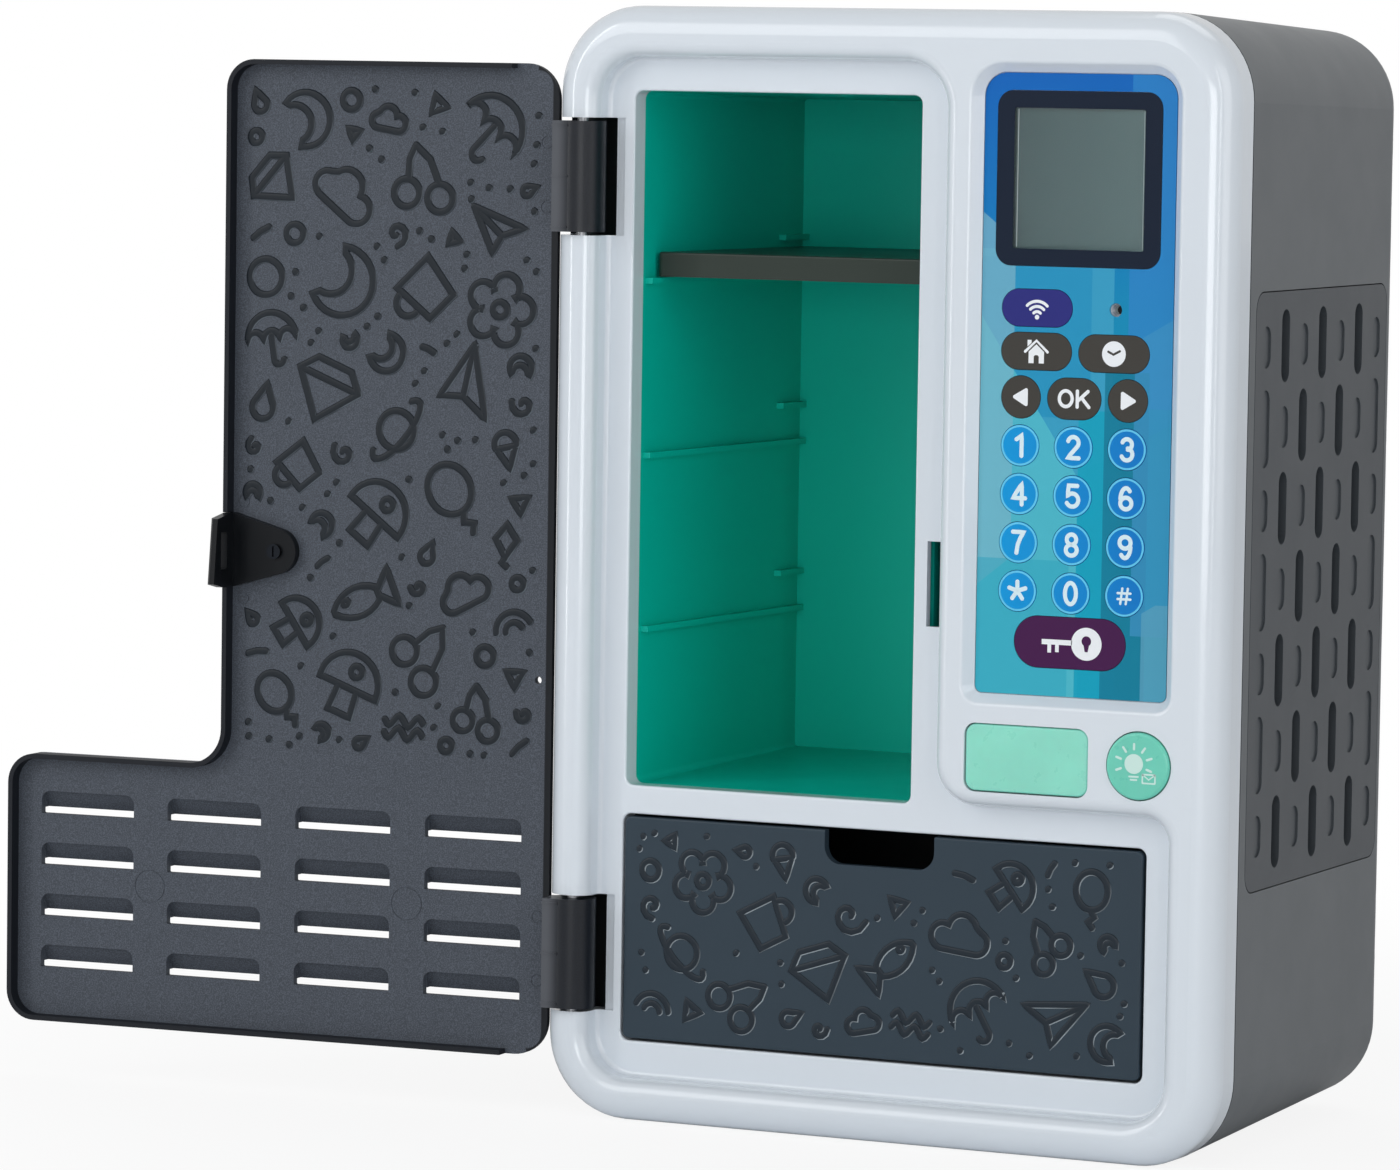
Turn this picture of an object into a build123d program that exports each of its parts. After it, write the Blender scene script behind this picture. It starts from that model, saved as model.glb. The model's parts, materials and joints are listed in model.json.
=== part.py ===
from build123d import *
import math
import os

# ---------------------------------------------------------------------------
# Electronic secret diary: a small upright locker with an L-shaped hinged door,
# a lined compartment with a shelf, a drawer, a keypad with a screen and a lock.
# Millimetres.  +X to the viewer's right, the front faces -Y, +Z up.
# The origin is on the standing plane, at mid width and mid depth of the case.
# "Depth" means the distance behind the front plane of the bezel.
# ---------------------------------------------------------------------------

# Case
case_width = 189.2
case_height = 290.0
case_depth = 129.0
half_width = case_width / 2
case_corner_radius = 22.3
front_y = -case_depth / 2

# Front bezel
bezel_depth = 14.0
bezel_wall = 2.4
bezel_outer_round = 7.2
rim_width = 12.4
rim_right_extra = 2.0
rim_top_extra = 0.7
rim_bottom_less = 1.1
recess_depth = 8.0
recess_edge_round = 4.0
recess_corner_radius = 11.0
recess_foot_round = 1.2
floor_wall = 2.2
collar_wall = 2.0
recess_left = -half_width + rim_width
recess_right = half_width - rim_width - rim_right_extra
recess_bottom = rim_width - rim_bottom_less
recess_top = case_height - rim_width - rim_top_extra
plateau_width = 78.4
plateau_height = 201.2
plateau_left = half_width - plateau_width
plateau_bottom = case_height - plateau_height
plateau_corner_radius = 11.0
plateau_top_radius = 12.0
plateau_side_radius = 6.5
front_skin = 4.3
skin_overlap = 0.8

# Rear case
shut_line = 0.6
shell_wall = 2.4
shell_draft_deg = 1.92
shell_rear_round = 8.0
tongue_depth = 3.0
tongue_wall = 1.6
tongue_root = 2.2
tongue_clearance = 0.25
tongue_lap = 0.3
tongue_notch_gap = 2.0
tongue_notch_side_gap = 1.0
plinth_width = 122.0
plinth_length = 88.0
plinth_height = 6.0
plinth_corner_radius = 9.0

# Compartment and its liner
opening_margin_left = 7.5
opening_margin_right = 9.5
opening_margin_top = 8.8
opening_drop = 1.2
opening_left = recess_left + opening_margin_left
opening_right = plateau_left - opening_margin_right
opening_bottom = plateau_bottom - opening_drop
opening_top = recess_top - opening_margin_top
opening_radius = 2.2
opening_edge_round = 0.6
liner_wall = 2.0
liner_back_depth = 106.0
liner_draft_deg = 1.3
liner_flange = 3.0
liner_flange_thickness = 1.8
rail_drops = (139.5, 94.1, 48.6)
rail_tops = [opening_top - drop for drop in rail_drops]
rail_thickness = 1.5
rail_width = 2.0
rail_reach = 20.0
rail_start_gap = 1.5
rail_cut = 5.0
stop_rib_rise = 10.0
stop_rib_length = 14.0

# Shelf
shelf_front_depth = 20.0
shelf_back_clearance = 1.5
shelf_height = 6.4
shelf_plate = 2.0
shelf_side_clearance = 1.1
shelf_seat_gap = 0.3
shelf_corner_radius = 1.0
shelf_edge_round = 0.5

# Drawer
drawer_margin_left = 7.6
drawer_margin_right = 8.8
drawer_margin_bottom = 9.9
drawer_bar = 8.2
drawer_left = recess_left + drawer_margin_left
drawer_right = recess_right - drawer_margin_right
drawer_bottom = recess_bottom + drawer_margin_bottom
drawer_top = opening_bottom - drawer_bar
drawer_corner_radius = 1.6
drawer_edge_round = 0.5
drawer_gap = 0.7
drawer_front_depth = 7.8
drawer_front_thickness = 2.6
tray_inset = 1.2
tray_wall = 1.8
tray_back_depth = 104.0
tray_headroom = 12.2
tray_height = drawer_top - drawer_bottom - tray_headroom
tray_edge_round = 1.5
notch_width = 30.9
notch_centre_x = (drawer_left + drawer_right) / 2
notch_drop = 8.7
notch_radius = 4.6
housing_wall = 1.6
housing_clearance = 0.9
housing_back_gap = 3.0
runner_thickness = 0.6
runner_width = 4.0
runner_inset = 6.0
runner_start_gap = 1.0

# Door, measured along the leaf from the hinge axis
axis_inset = 7.2
axis_x = -half_width + axis_inset
axis_depth = 3.6
door_open_deg = 176.2
leaf_start = 6.9
door_gap_right = 2.9
door_gap_plateau = 2.6
door_gap_bottom = 3.9
door_gap_top = 2.2
door_gap_step = 1.4
leaf_tall_end = plateau_left - axis_x - door_gap_plateau
leaf_low_end = recess_right - axis_x - door_gap_right
door_bottom = recess_bottom + door_gap_bottom
door_top = recess_top - door_gap_top
door_low_top = plateau_bottom - door_gap_step
door_wall = 2.2
door_rim_height = 4.0
door_rim_wall = 1.3
door_corner_radius = 8.0
door_hinge_corner_radius = 9.4
door_step_radius = 9.5
door_edge_round = 0.6
rim_start = 18.8
rim_cut_reach = 20.0
rim_cut_radius = 1.0
door_hole_distance = 10.8
door_hole_drop = 176.0
door_hole_radius = 1.0

# Hinges
barrel_radius = 6.1
barrel_height = 28.7
barrel_rise = 28.9
barrel_drop = 58.6
barrel_bottoms = (barrel_rise, case_height - barrel_drop)
arm_reach = 6.3
arm_rise = 5.8
arm_rib_start = 1.9
arm_rib_reach = 6.5
arm_rib_rise = 0.2
arm_rib_width = 0.5
arm_rib_inset = 1.2
pin_radius = 1.5
pin_running_gap = 0.05
pin_seat = 4.0
pin_chamfer = 0.3
notch_margin = 0.9
notch_reach = 14.2
notch_ledge_width = 3.0
notch_ledge_x = -half_width + notch_reach
notch_end_x = notch_ledge_x + notch_ledge_width
notch_floor_depth = 11.0
notch_ledge_depth = 9.2
hinge_block = 5.0
hinge_block_depth = 13.0

# Louvres in the low part of the door
louvre_width = 27.8
louvre_height = 6.1
louvre_first = 28.9
louvre_pitch = 37.9
louvre_rise = 14.1
louvre_top_margin = 3.0
louvre_end_margin = 9.0
louvre_bottom = door_bottom + louvre_rise
louvre_row_pitch = 13.9
louvre_rows = int((door_low_top - louvre_top_margin - louvre_height - louvre_bottom) // louvre_row_pitch) + 1
louvre_columns = int((leaf_low_end - louvre_end_margin - louvre_first) // louvre_pitch) + 1
louvre_gap = 1.5
louvre_bulge = 2.8
louvre_plate = 1.0
louvre_radius = 2.4
louvre_lap = 0.8
louvre_overhang = 0.6
louvre_cheek = 0.8
louvre_root = 0.2

# Round ejector marks on the door's inner face
large_mark_radius = 4.5
small_mark_radius = 1.7
large_mark_distances = (47.85, 123.65)
large_mark_rise = 37.8
hinge_mark_distance = 10.0
hinge_mark_rises = (6.1, 22.9)
hook_mark_distance = 96.6
hook_mark_rises = (-3.2, 22.6)
mark_width = 0.3
mark_depth = 0.15

# Hook and lock
hook_thickness = 2.2
hook_end_gap = 0.2
hook_drop = 155.0
hook_start = leaf_tall_end - hook_end_gap - hook_thickness
hook_bottom = case_height - hook_drop
hook_root_height = 19.6
hook_tip_taper = 1.2
hook_tip_slant = 2.0
hook_tip_chamfer = 0.8
hook_tip_length = 6.0
hook_reach = 13.8
hook_window_start = 6.1
hook_window_depth = 3.6
hook_window_height = 9.8
hook_base_length = 14.4
hook_base_height = 2.4
hook_boss_radius = 6.1
hook_rim_gap = 0.1
hook_screw_radius = 1.1
hook_screw_fit = 0.02
hook_screw_end_gap = 0.05
hook_screw_head_radius = 2.0
hook_screw_head_height = 1.0
hook_screw_slot_width = 0.6
hook_screw_slot_length = 2.8
hook_screw_slot_depth = 0.5
keeper_gap = 0.8
keeper_width = 5.0
keeper_end_gap = 1.8
lock_side_gap = 1.2
keeper_right = plateau_left - keeper_gap
keeper_left = keeper_right - keeper_width
keeper_bottom = hook_bottom - keeper_end_gap
keeper_height = 21.8
bolt_thickness = 2.0
bolt_height = 8.0
bolt_guided_length = 17.0
bolt_travel = 5.0
bolt_end_gap = 0.3
bolt_gap = 0.25
bolt_offset = 0.1
bolt_nose = 0.6
lock_left = keeper_right + lock_side_gap
lock_length = 26.0
lock_height = 24.0
lock_body_depth = 13.0
motor_radius = 6.0
motor_length = 20.0

# Keypad, screen and buttons
pad_inset = 42.0
pad_drop = 15.7
pad_width = 52.1
pad_height = 156.5
pad_centre_x = half_width - pad_inset
pad_top = case_height - pad_drop
pad_bottom = pad_top - pad_height
pad_depth = 3.0
pad_thickness = 0.8
pad_back_depth = 5.4
pad_boss_wall = 1.8
pad_top_radius = 6.0
pad_bottom_radius = 1.8
pad_bevel = 2.7
pad_bevel_round = 1.2
pad_fit = 0.2
pad_rim_tolerance = 0.1
key_proud = 0.08
key_rest_gap = 0.4
key_fit = 0.12
key_edge_round = 0.15
key_end_flat = 0.05
column_offset = -0.3
column_pitch = 14.57
row_pitch = 12.25
digit_diameter = 10.4
digits_drop = 93.6
digits_top_z = pad_top - digits_drop
arrow_diameter = 10.7
arrow_rise = 12.2
ok_width = 14.6
pill_width = 19.2
pill_height = 9.4
pill_offset = 10.55
menu_rise = 11.6
wireless_rise = 10.9
unlock_rise = 13.6
unlock_z = pad_bottom + unlock_rise
unlock_width = 30.4
unlock_height = 13.0
sheet_margin = 1.0
sheet_corner_radius = 1.5
mat_thickness = 1.6
mat_dimple_depth = 0.5
mat_dimple_radius = 1.6
circuit_thickness = 1.4
lens_offset = -0.15
lens_drop = 26.4
lens_centre_z = pad_top - lens_drop
lens_width = 44.8
lens_height = 44.0
lens_radius = 4.2
lens_thickness = 0.8
lens_fit = 0.05
screen_width = 35.4
screen_height = 35.4
screen_corner_radius = 0.6
screen_frame = 3.0
screen_frame_thickness = 3.2
screen_glass_border = 0.7
screen_window_gap = 0.3
screen_depth = 4.2
mic_offset = 10.5
mic_drop = 58.8
mic_x = pad_centre_x + mic_offset
mic_z = pad_top - mic_drop
mic_hole_radius = 1.7
mic_radius = 3.0
mic_fit = 0.1
mic_length = 2.6

# Message light and lamp button
light_inset = 9.1
light_rise = 4.2
light_left = plateau_left + light_inset
light_bottom = plateau_bottom + light_rise
light_width = 33.6
light_height = 17.0
light_radius = 2.8
light_sink = 0.4
light_fit = 0.25
light_edge_round = 0.6
light_flange = 1.2
light_flange_thickness = 1.2
lamp_board_side_inset = 2.0
lamp_board_end_inset = 1.0
lamp_board_radius = 0.5
lamp_board_thickness = 1.4
lamp_count = 3
lamp_side = 3.0
lamp_height = 1.0
button_inset = 21.7
button_rise = 13.0
button_x = half_width - button_inset
button_z = plateau_bottom + button_rise
button_radius = 8.5
button_fit = 0.3
button_proud = 0.9
button_travel = 0.8
button_length = 6.0
button_flange = 1.2
button_edge_round = 0.8
button_seat_gap = 0.1
switch_side = 6.0
switch_height = 3.4
switch_gap = 0.1
bracket_width = 24.8
bracket_height = 10.0
bracket_thickness = 1.6
bracket_leg_width = 2.0
bracket_leg_height = 6.0

# Vent panels, measured on the drafted side face
vent_front_depth = 19.2
vent_rear_margin = 8.8
vent_length = case_depth - vent_front_depth - vent_rear_margin
vent_bottom = 69.0
vent_height = 151.2
vent_radius = 5.0
vent_gap = 0.3
vent_flange = 1.8
vent_flange_thickness = 1.2
vent_seat_gap = 0.05
vent_cut_reach = 6.0
vent_column_pitch = 14.15
vent_row_pitch = 20.6
vent_columns = int(vent_length // vent_column_pitch)
vent_rows = int(vent_height // vent_row_pitch)
slot_width = 6.0
slot_height = 18.5
dimple_height = 10.6
long_dimple_height = 19.6
dimple_depth = 0.5

# Electronics and battery bay
board_depth = 24.0
board_thickness = 1.6
board_width = 58.0
board_height = 84.0
board_drop = 118.0
board_inset = 70.6
board_bottom = case_height - board_drop
board_left = half_width - board_inset
post_radius = 2.2
post_inset = 4.0
post_clearance = 0.2
board_chips = ((17.4, 25.2, 14.0, 14.0, 1.6), (40.6, 46.2, 9.0, 12.0, 1.2), (20.3, 63.0, 18.0, 7.0, 2.4))
speaker_radius = 20.0
speaker_length = 9.0
speaker_rim_thickness = 2.4
speaker_magnet_radius = 11.0
speaker_cone_radius = 14.0
speaker_cone_depth = 1.2
speaker_ring_wall = 1.6
speaker_ring_length = 2.8
speaker_fit = 0.1
speaker_rise = 107.0
speaker_z = vent_bottom + speaker_rise
cell_radius = 7.1
cell_length = 50.0
cell_count = 4
cell_pitch = 14.8
cell_nub_radius = 2.6
cell_nub_height = 1.2
cell_lift = 0.2
bay_inset = 44.6
bay_x = half_width - bay_inset
bay_bottom = 104.0
bay_wall = 1.6
bay_end_space = 2.4
bay_side_space = 1.0
bay_depth_space = 1.2
bay_corner_radius = 1.0
contact_thickness = 0.4
contact_side = 10.0
cover_margin = 5.0
cover_thickness = 2.2
cover_radius = 4.0
cover_gap = 0.3
cover_ledge = 2.0
cover_seat_gap = 0.2
cover_edge_round = 0.4
cover_frame_width = 2.5
cover_frame_sink = 0.5
cover_rib_inset = 1.0
cover_rib_wall = 2.0
cover_rib_height = 1.0
cover_grip_rise = 8.0
cover_grip_count = 5
cover_grip_pitch = 3.0
cover_grip_width = 24.0
cover_grip_height = 1.2
cover_grip_depth = 0.5
cover_screw_rise = 5.0
cover_screw_sink = 0.1
cover_screw_head_depth = 1.2
cover_screw_length = 5.3
cover_screw_slot_depth = 0.8
cover_screw_fit = 0.1
cover_screw_bite = 0.05
cover_screw_head_fit = 0.2
lamp_radius = 4.0
lamp_depth = 45.0
lamp_fit = 0.05
lamp_sink = 0.1
lamp_hole_length = 12.0
lamp_cap_gap = 0.2
lamp_cap_overhang = 1.5
lamp_cap_thickness = 1.6

# Case screws
screw_radius = 1.4
screw_head_radius = 2.8
screw_head_height = 2.0
screw_length = 30.0
screw_seat_depth = 40.0
screw_seat_thickness = 2.0
screw_bite = 0.02
screw_end_gap = 1.0
screw_hole_fit = 0.15
screw_head_fit = 0.3
screw_slot_depth = 0.8
screw_slot_length = 3.0
screw_slot_width = 0.6
screw_post_radius = 4.2
screw_post_inset = 0.5
bezel_boss_radius = 4.0
bezel_boss_end = 20.0
screw_side_inset = 12.1
screw_corner_rise = 19.0
screw_middle_rise = 11.5
screw_middle_drop = 12.5
screw_side_x = half_width - screw_side_inset
screw_points = [(side, z) for z in (screw_corner_rise, case_height - screw_corner_rise)
                for side in (-screw_side_x, screw_side_x)]
screw_points += [(0.0, screw_middle_rise), (0.0, case_height - screw_middle_drop)]

# Modelling allowances: cuts run past a face, joined solids share a film, small corners keep a radius
overcut = 1.0
film = 0.01
least_radius = 0.3
touching = 0.001

PARTS = {}


# ---------------------------------------------------------------------------
# Helpers
# ---------------------------------------------------------------------------
def front_plane(depth):
    """Plane seen from the front: local x is +X, local y is +Z, facing -Y."""
    return Plane(origin=(0, front_y + depth, 0), x_dir=(1, 0, 0), z_dir=(0, -1, 0))


def slab(profile, start, end):
    """Solid of a front-view profile between two depths."""
    return extrude(front_plane(end) * profile, amount=end - start)


def block(left, right, start, end, bottom, top):
    """Box from its x, depth and z limits."""
    centre = ((left + right) / 2, front_y + (start + end) / 2, (bottom + top) / 2)
    return Pos(*centre) * Box(right - left, end - start, top - bottom)


def rounded(left, right, bottom, top, radius):
    """Rounded rectangle in the front view."""
    shape = RectangleRounded(right - left, top - bottom, radius)
    return Pos((left + right) / 2, (bottom + top) / 2) * shape


def grown(left, right, bottom, top, radius, by):
    """The same rounded rectangle, offset outwards."""
    return rounded(left - by, right + by, bottom - by, top + by, max(radius + by, least_radius))


def drafted(left, right, bottom, top, radius, start, end, draft_deg):
    """Rounded box that narrows towards the back by a draft on all four sides."""
    shrink = (end - start) * math.tan(math.radians(draft_deg))
    near = front_plane(start) * rounded(left, right, bottom, top, radius)
    back_radius = max(radius - shrink / 2, least_radius)
    far_shape = rounded(left + shrink, right - shrink, bottom + shrink, top - shrink, back_radius)
    return loft([near.face(), (front_plane(end) * far_shape).face()], ruled=True)


def rod(x, z, start, end, radius):
    """Cylinder along the depth."""
    return slab(Pos(x, z) * Circle(radius), start, end)


def edges_at(solid, depth):
    """Edges lying in the plane at a depth."""
    y = front_y + depth
    found = [e for e in solid.edges() if abs(e.bounding_box().min.Y - y) < touching]
    return [e for e in found if abs(e.bounding_box().max.Y - y) < touching]


def keep(name, solid):
    """Register a sub-part under its node name."""
    PARTS[name] = solid


# ---------------------------------------------------------------------------
# Shared outlines
# ---------------------------------------------------------------------------


def case_outline(by=0.0):
    """Outline of the case in the front view, offset inwards."""
    return rounded(-half_width + by, half_width - by, by, case_height - by, case_corner_radius - by)


def recess_outline(by=0.0):
    """L-shaped door recess: the tall part beside the keypad plateau, and the low part."""
    left, right = recess_left - by, recess_right + by
    bottom, top = recess_bottom - by, recess_top + by
    step_x, step_z = plateau_left + by, plateau_bottom + by
    corners = [(left, bottom), (right, bottom), (right, step_z), (step_x, step_z), (step_x, top), (left, top)]
    radii = [recess_corner_radius + by, recess_corner_radius + by, plateau_side_radius + by]
    radii += [max(plateau_corner_radius - by, least_radius), plateau_top_radius + by, recess_corner_radius + by]
    face = make_face(Polyline(*corners, close=True))
    for corner, radius in zip(corners, radii):
        vertex = min(face.vertices(), key=lambda v: math.hypot(v.X - corner[0], v.Y - corner[1]))
        face = fillet(vertex, radius)
    return face


def pad_outline(by=0.0):
    """Outline of the keypad overlay, offset outwards."""
    left = pad_centre_x - pad_width / 2 - by
    right = pad_centre_x + pad_width / 2 + by
    upper = rounded(left, right, (pad_bottom + pad_top) / 2, pad_top + by, pad_top_radius + by)
    lower = rounded(left, right, pad_bottom - by, pad_top - 2 * pad_top_radius, pad_bottom_radius + by)
    return upper + lower


def key_shapes():
    """Name, centre x, centre z, width and height of every key; equal sides make a round key."""
    centre = pad_centre_x + column_offset
    columns = [centre - column_pitch, centre, centre + column_pitch]
    labels = [["1", "2", "3"], ["4", "5", "6"], ["7", "8", "9"], ["star", "0", "hash"]]
    keys = []
    for row, names in enumerate(labels):
        for x, label in zip(columns, names):
            keys.append((f"key_{label}", x, digits_top_z - row * row_pitch, digit_diameter, digit_diameter))
    arrows_z = digits_top_z + arrow_rise
    keys.append(("key_left", columns[0], arrows_z, arrow_diameter, arrow_diameter))
    keys.append(("key_ok", columns[1], arrows_z, ok_width, digit_diameter))
    keys.append(("key_right", columns[2], arrows_z, arrow_diameter, arrow_diameter))
    menu_z = arrows_z + menu_rise
    keys.append(("key_home", centre - pill_offset, menu_z, pill_width, pill_height))
    keys.append(("key_clock", centre + pill_offset, menu_z, pill_width, pill_height))
    keys.append(("key_wireless", centre - pill_offset, menu_z + wireless_rise, pill_width, pill_height))
    keys.append(("key_unlock", centre, unlock_z, unlock_width, unlock_height))
    return keys


def key_outline(x, z, width, height, by=0.0):
    """Round or pill-shaped outline of a key, offset outwards."""
    width, height = width + 2 * by, height + 2 * by
    if width == height:
        return Pos(x, z) * Circle(width / 2)
    return Pos(x, z) * RectangleRounded(width, height, height / 2 - key_end_flat)


def board_posts():
    """Centres of the four posts that carry the main board."""
    columns = (board_left + post_inset, board_left + board_width - post_inset)
    rows = (board_bottom + post_inset, board_bottom + board_height - post_inset)
    return [(x, z) for x in columns for z in rows]


lens_centre_x = pad_centre_x + lens_offset
lens_left = lens_centre_x - lens_width / 2
lens_right = lens_centre_x + lens_width / 2
lens_bottom = lens_centre_z - lens_height / 2
lens_top = lens_centre_z + lens_height / 2
light_right = light_left + light_width
light_top = light_bottom + light_height
pad_floor_depth = pad_depth + pad_thickness


# ---------------------------------------------------------------------------
# Front bezel
# ---------------------------------------------------------------------------
def hinge_notch(bottom):
    """Space for one hinge barrel: a pocket open to the left, a well behind it and a ledge beside it."""
    low, high = bottom - notch_margin, bottom + barrel_height + notch_margin
    pocket = block(-half_width - overcut, notch_ledge_x, -overcut, notch_floor_depth, low, high)
    well = block(-half_width + bezel_wall, notch_ledge_x, 0, bezel_depth + overcut, low, high)
    ledge = block(notch_ledge_x, notch_end_x, -overcut, notch_ledge_depth, low, high)
    return pocket + well + ledge


def opening_outlines():
    """Outlines of the compartment opening and of the drawer opening."""
    drawer = (drawer_left, drawer_right, drawer_bottom, drawer_top, drawer_corner_radius)
    compartment = (opening_left, opening_right, opening_bottom, opening_top, opening_radius)
    return [grown(*compartment, 0), grown(*drawer, drawer_gap)]


def collars():
    """Short walls around the two openings, from the recess floor back to the bezel's rear plane."""
    start = recess_depth + floor_wall / 2
    return sum((slab(offset(outline, collar_wall), start, bezel_depth) for outline in opening_outlines()), Part())


def screen_window(by):
    """Outline of the visible screen, offset outwards."""
    half_w, half_h = screen_width / 2 + by, screen_height / 2 + by
    left, right = lens_centre_x - half_w, lens_centre_x + half_w
    return rounded(left, right, lens_centre_z - half_h, lens_centre_z + half_h, screen_corner_radius)


def front_bezel():
    body = slab(case_outline(), 0, bezel_depth)
    body = fillet(edges_at(body, 0), bezel_outer_round)
    recess = slab(recess_outline(), -overcut, recess_depth)
    body -= recess
    body = fillet(edges_at(body, 0), recess_edge_round)
    body = fillet(edges_at(body, recess_depth), recess_foot_round)
    openings = [slab(outline, 0, bezel_depth + overcut) for outline in opening_outlines()]
    for opening in openings:
        body -= opening
        near = [e for e in edges_at(body, recess_depth) if opening.distance_to(e) < touching]
        body = fillet(near, opening_edge_round)

    # Hollow the back, leaving the skin, the recess walls and the floor
    rear = slab(case_outline(bezel_wall), recess_depth + floor_wall, bezel_depth + overcut)
    behind_rim = case_outline(bezel_wall) - recess_outline(bezel_wall)
    body -= rear + slab(behind_rim, front_skin, bezel_depth + overcut)

    # Hinge blocks, screw bosses, the keypad's backing and the collars of the two openings
    inside = slab(case_outline(bezel_wall / 2), front_skin - skin_overlap, bezel_depth)
    for bottom in barrel_bottoms:
        low, high = bottom - hinge_block - notch_margin, bottom + barrel_height + hinge_block + notch_margin
        hinge_part = block(-half_width, notch_end_x + bezel_wall, front_skin - skin_overlap, hinge_block_depth,
                           low, high)
        body += (hinge_part & inside) - recess
    for x, z in screw_points:
        body += rod(x, z, front_skin - skin_overlap, bezel_boss_end, bezel_boss_radius) - recess
    for x, z in board_posts():
        body += rod(x, z, front_skin - skin_overlap, board_depth, post_radius)
    body += slab(pad_outline(pad_boss_wall), front_skin - skin_overlap, pad_back_depth)
    body += collars()

    # Openings, the keeper slot, the hinge notches and the screw holes
    for opening in openings:
        body -= opening
    body -= block(keeper_left, keeper_right, 0, bezel_depth + overcut, keeper_bottom,
                  keeper_bottom + keeper_height)
    for bottom in barrel_bottoms:
        body -= hinge_notch(bottom)
        pin = Pos(axis_x, front_y + axis_depth, bottom + barrel_height / 2)
        body -= pin * Cylinder(pin_radius, barrel_height + 2 * notch_margin + 2 * pin_seat)
    for x, z in screw_points:
        body -= rod(x, z, screw_seat_depth - screw_length, bezel_boss_end + overcut, screw_radius)

    # Keypad pocket with a bevelled edge
    body -= loft([(front_plane(0) * pad_outline(pad_bevel)).face(),
                  (front_plane(pad_depth) * pad_outline(pad_fit)).face()], ruled=True)
    rim = (front_plane(0) * pad_outline(pad_bevel)).face()
    body = fillet([e for e in edges_at(body, 0) if rim.distance_to(e.center()) < pad_rim_tolerance],
                  pad_bevel_round)
    body -= slab(pad_outline(pad_fit), pad_depth - film, pad_floor_depth)

    # Key holes, screen window, microphone hole and light openings
    for _, x, z, width, height in key_shapes():
        body -= slab(key_outline(x, z, width, height, key_fit), 0, pad_back_depth + overcut)
    body -= slab(screen_window(screen_glass_border + screen_window_gap), 0, pad_back_depth + overcut)
    body -= rod(mic_x, mic_z, 0, pad_back_depth + overcut, mic_hole_radius)
    light = (light_left, light_right, light_bottom, light_top, light_radius)
    body -= slab(grown(*light, light_fit), -overcut, front_skin + overcut)
    body -= rod(button_x, button_z, -overcut, front_skin + overcut, button_radius + button_fit)
    return body


# ---------------------------------------------------------------------------
# Rear case and vent panels
# ---------------------------------------------------------------------------
shell_front = bezel_depth + shut_line
draft_slope = math.tan(math.radians(shell_draft_deg))
bay_width = cell_pitch * cell_count + bay_side_space
bay_left = bay_x - bay_width / 2
bay_right = bay_x + bay_width / 2
bay_height = cell_length + 2 * bay_end_space
bay_top = bay_bottom + bay_height
cover_left = bay_left - cover_margin
cover_right = bay_right + cover_margin
cover_bottom = bay_bottom - cover_margin
cover_top = bay_top + 2 * cover_margin
cover_screw_z = bay_top + cover_screw_rise
bay_end_depth = case_depth - cover_thickness - cover_seat_gap
bay_start_depth = bay_end_depth - 2 * cell_radius - bay_depth_space
shell_back_inner = case_depth - shell_wall


def side_plane(offset):
    """Plane on the right-hand drafted side: local x runs to the back, local y is up, facing out."""
    draft = math.radians(shell_draft_deg)
    centre_depth = vent_front_depth + vent_length / 2
    x = half_width - draft_slope * (centre_depth - shell_front)
    normal = Vector(math.cos(draft), math.sin(draft), 0)
    origin = Vector(x, front_y + centre_depth, vent_bottom + vent_height / 2) + normal * offset
    return Plane(origin=origin, x_dir=(-math.sin(draft), math.cos(draft), 0), z_dir=normal)


vent_back = -shell_wall - vent_seat_gap - vent_flange_thickness


def vent_outline(by=0.0):
    return RectangleRounded(vent_length + 2 * by, vent_height + 2 * by, vent_radius + by)


def side_slab(profile, inner, outer):
    """Solid on the drafted side face between two offsets from it."""
    return extrude(side_plane(inner) * profile, amount=outer - inner)


def vent_slot(column, row, height, inner, outer):
    """One round-ended slot or dimple of the vent grid."""
    x = (column - (vent_columns - 1) / 2) * vent_column_pitch
    y = ((vent_rows - 1) / 2 - row) * vent_row_pitch
    return side_slab(Pos(x, y) * SlotOverall(height, slot_width, rotation=90), inner, outer)


def right_vent_panel():
    seat = -shell_wall - vent_seat_gap
    body = side_slab(vent_outline(), seat, 0)
    body += side_slab(vent_outline(vent_flange), vent_back, seat)
    last = vent_columns - 1
    for row in range(vent_rows):
        for column in range(vent_columns):
            odd_row = row % 2 == 0
            if (odd_row and column % 2 == 1) or (not odd_row and column % 2 == 0 and 0 < column < last):
                body -= vent_slot(column, row, slot_height, vent_back - overcut, overcut)
            elif not odd_row and column in (0, last):
                body -= vent_slot(column, row, long_dimple_height, -dimple_depth, overcut)
            else:
                body -= vent_slot(column, row, dimple_height, -dimple_depth, overcut)
    centre = Pos(0, speaker_z - vent_bottom - vent_height / 2)
    ring = centre * Circle(speaker_radius + speaker_ring_wall) - centre * Circle(speaker_radius + speaker_fit)
    return body + side_slab(ring, vent_back - speaker_ring_length, vent_back)


def left_vent_panel(right_panel):
    """The left panel is the right one mirrored, without the speaker's ring."""
    cut = side_slab(vent_outline(vent_flange), vent_back - 2 * speaker_ring_length, vent_back)
    return mirror(right_panel - cut, about=Plane.YZ)


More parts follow.
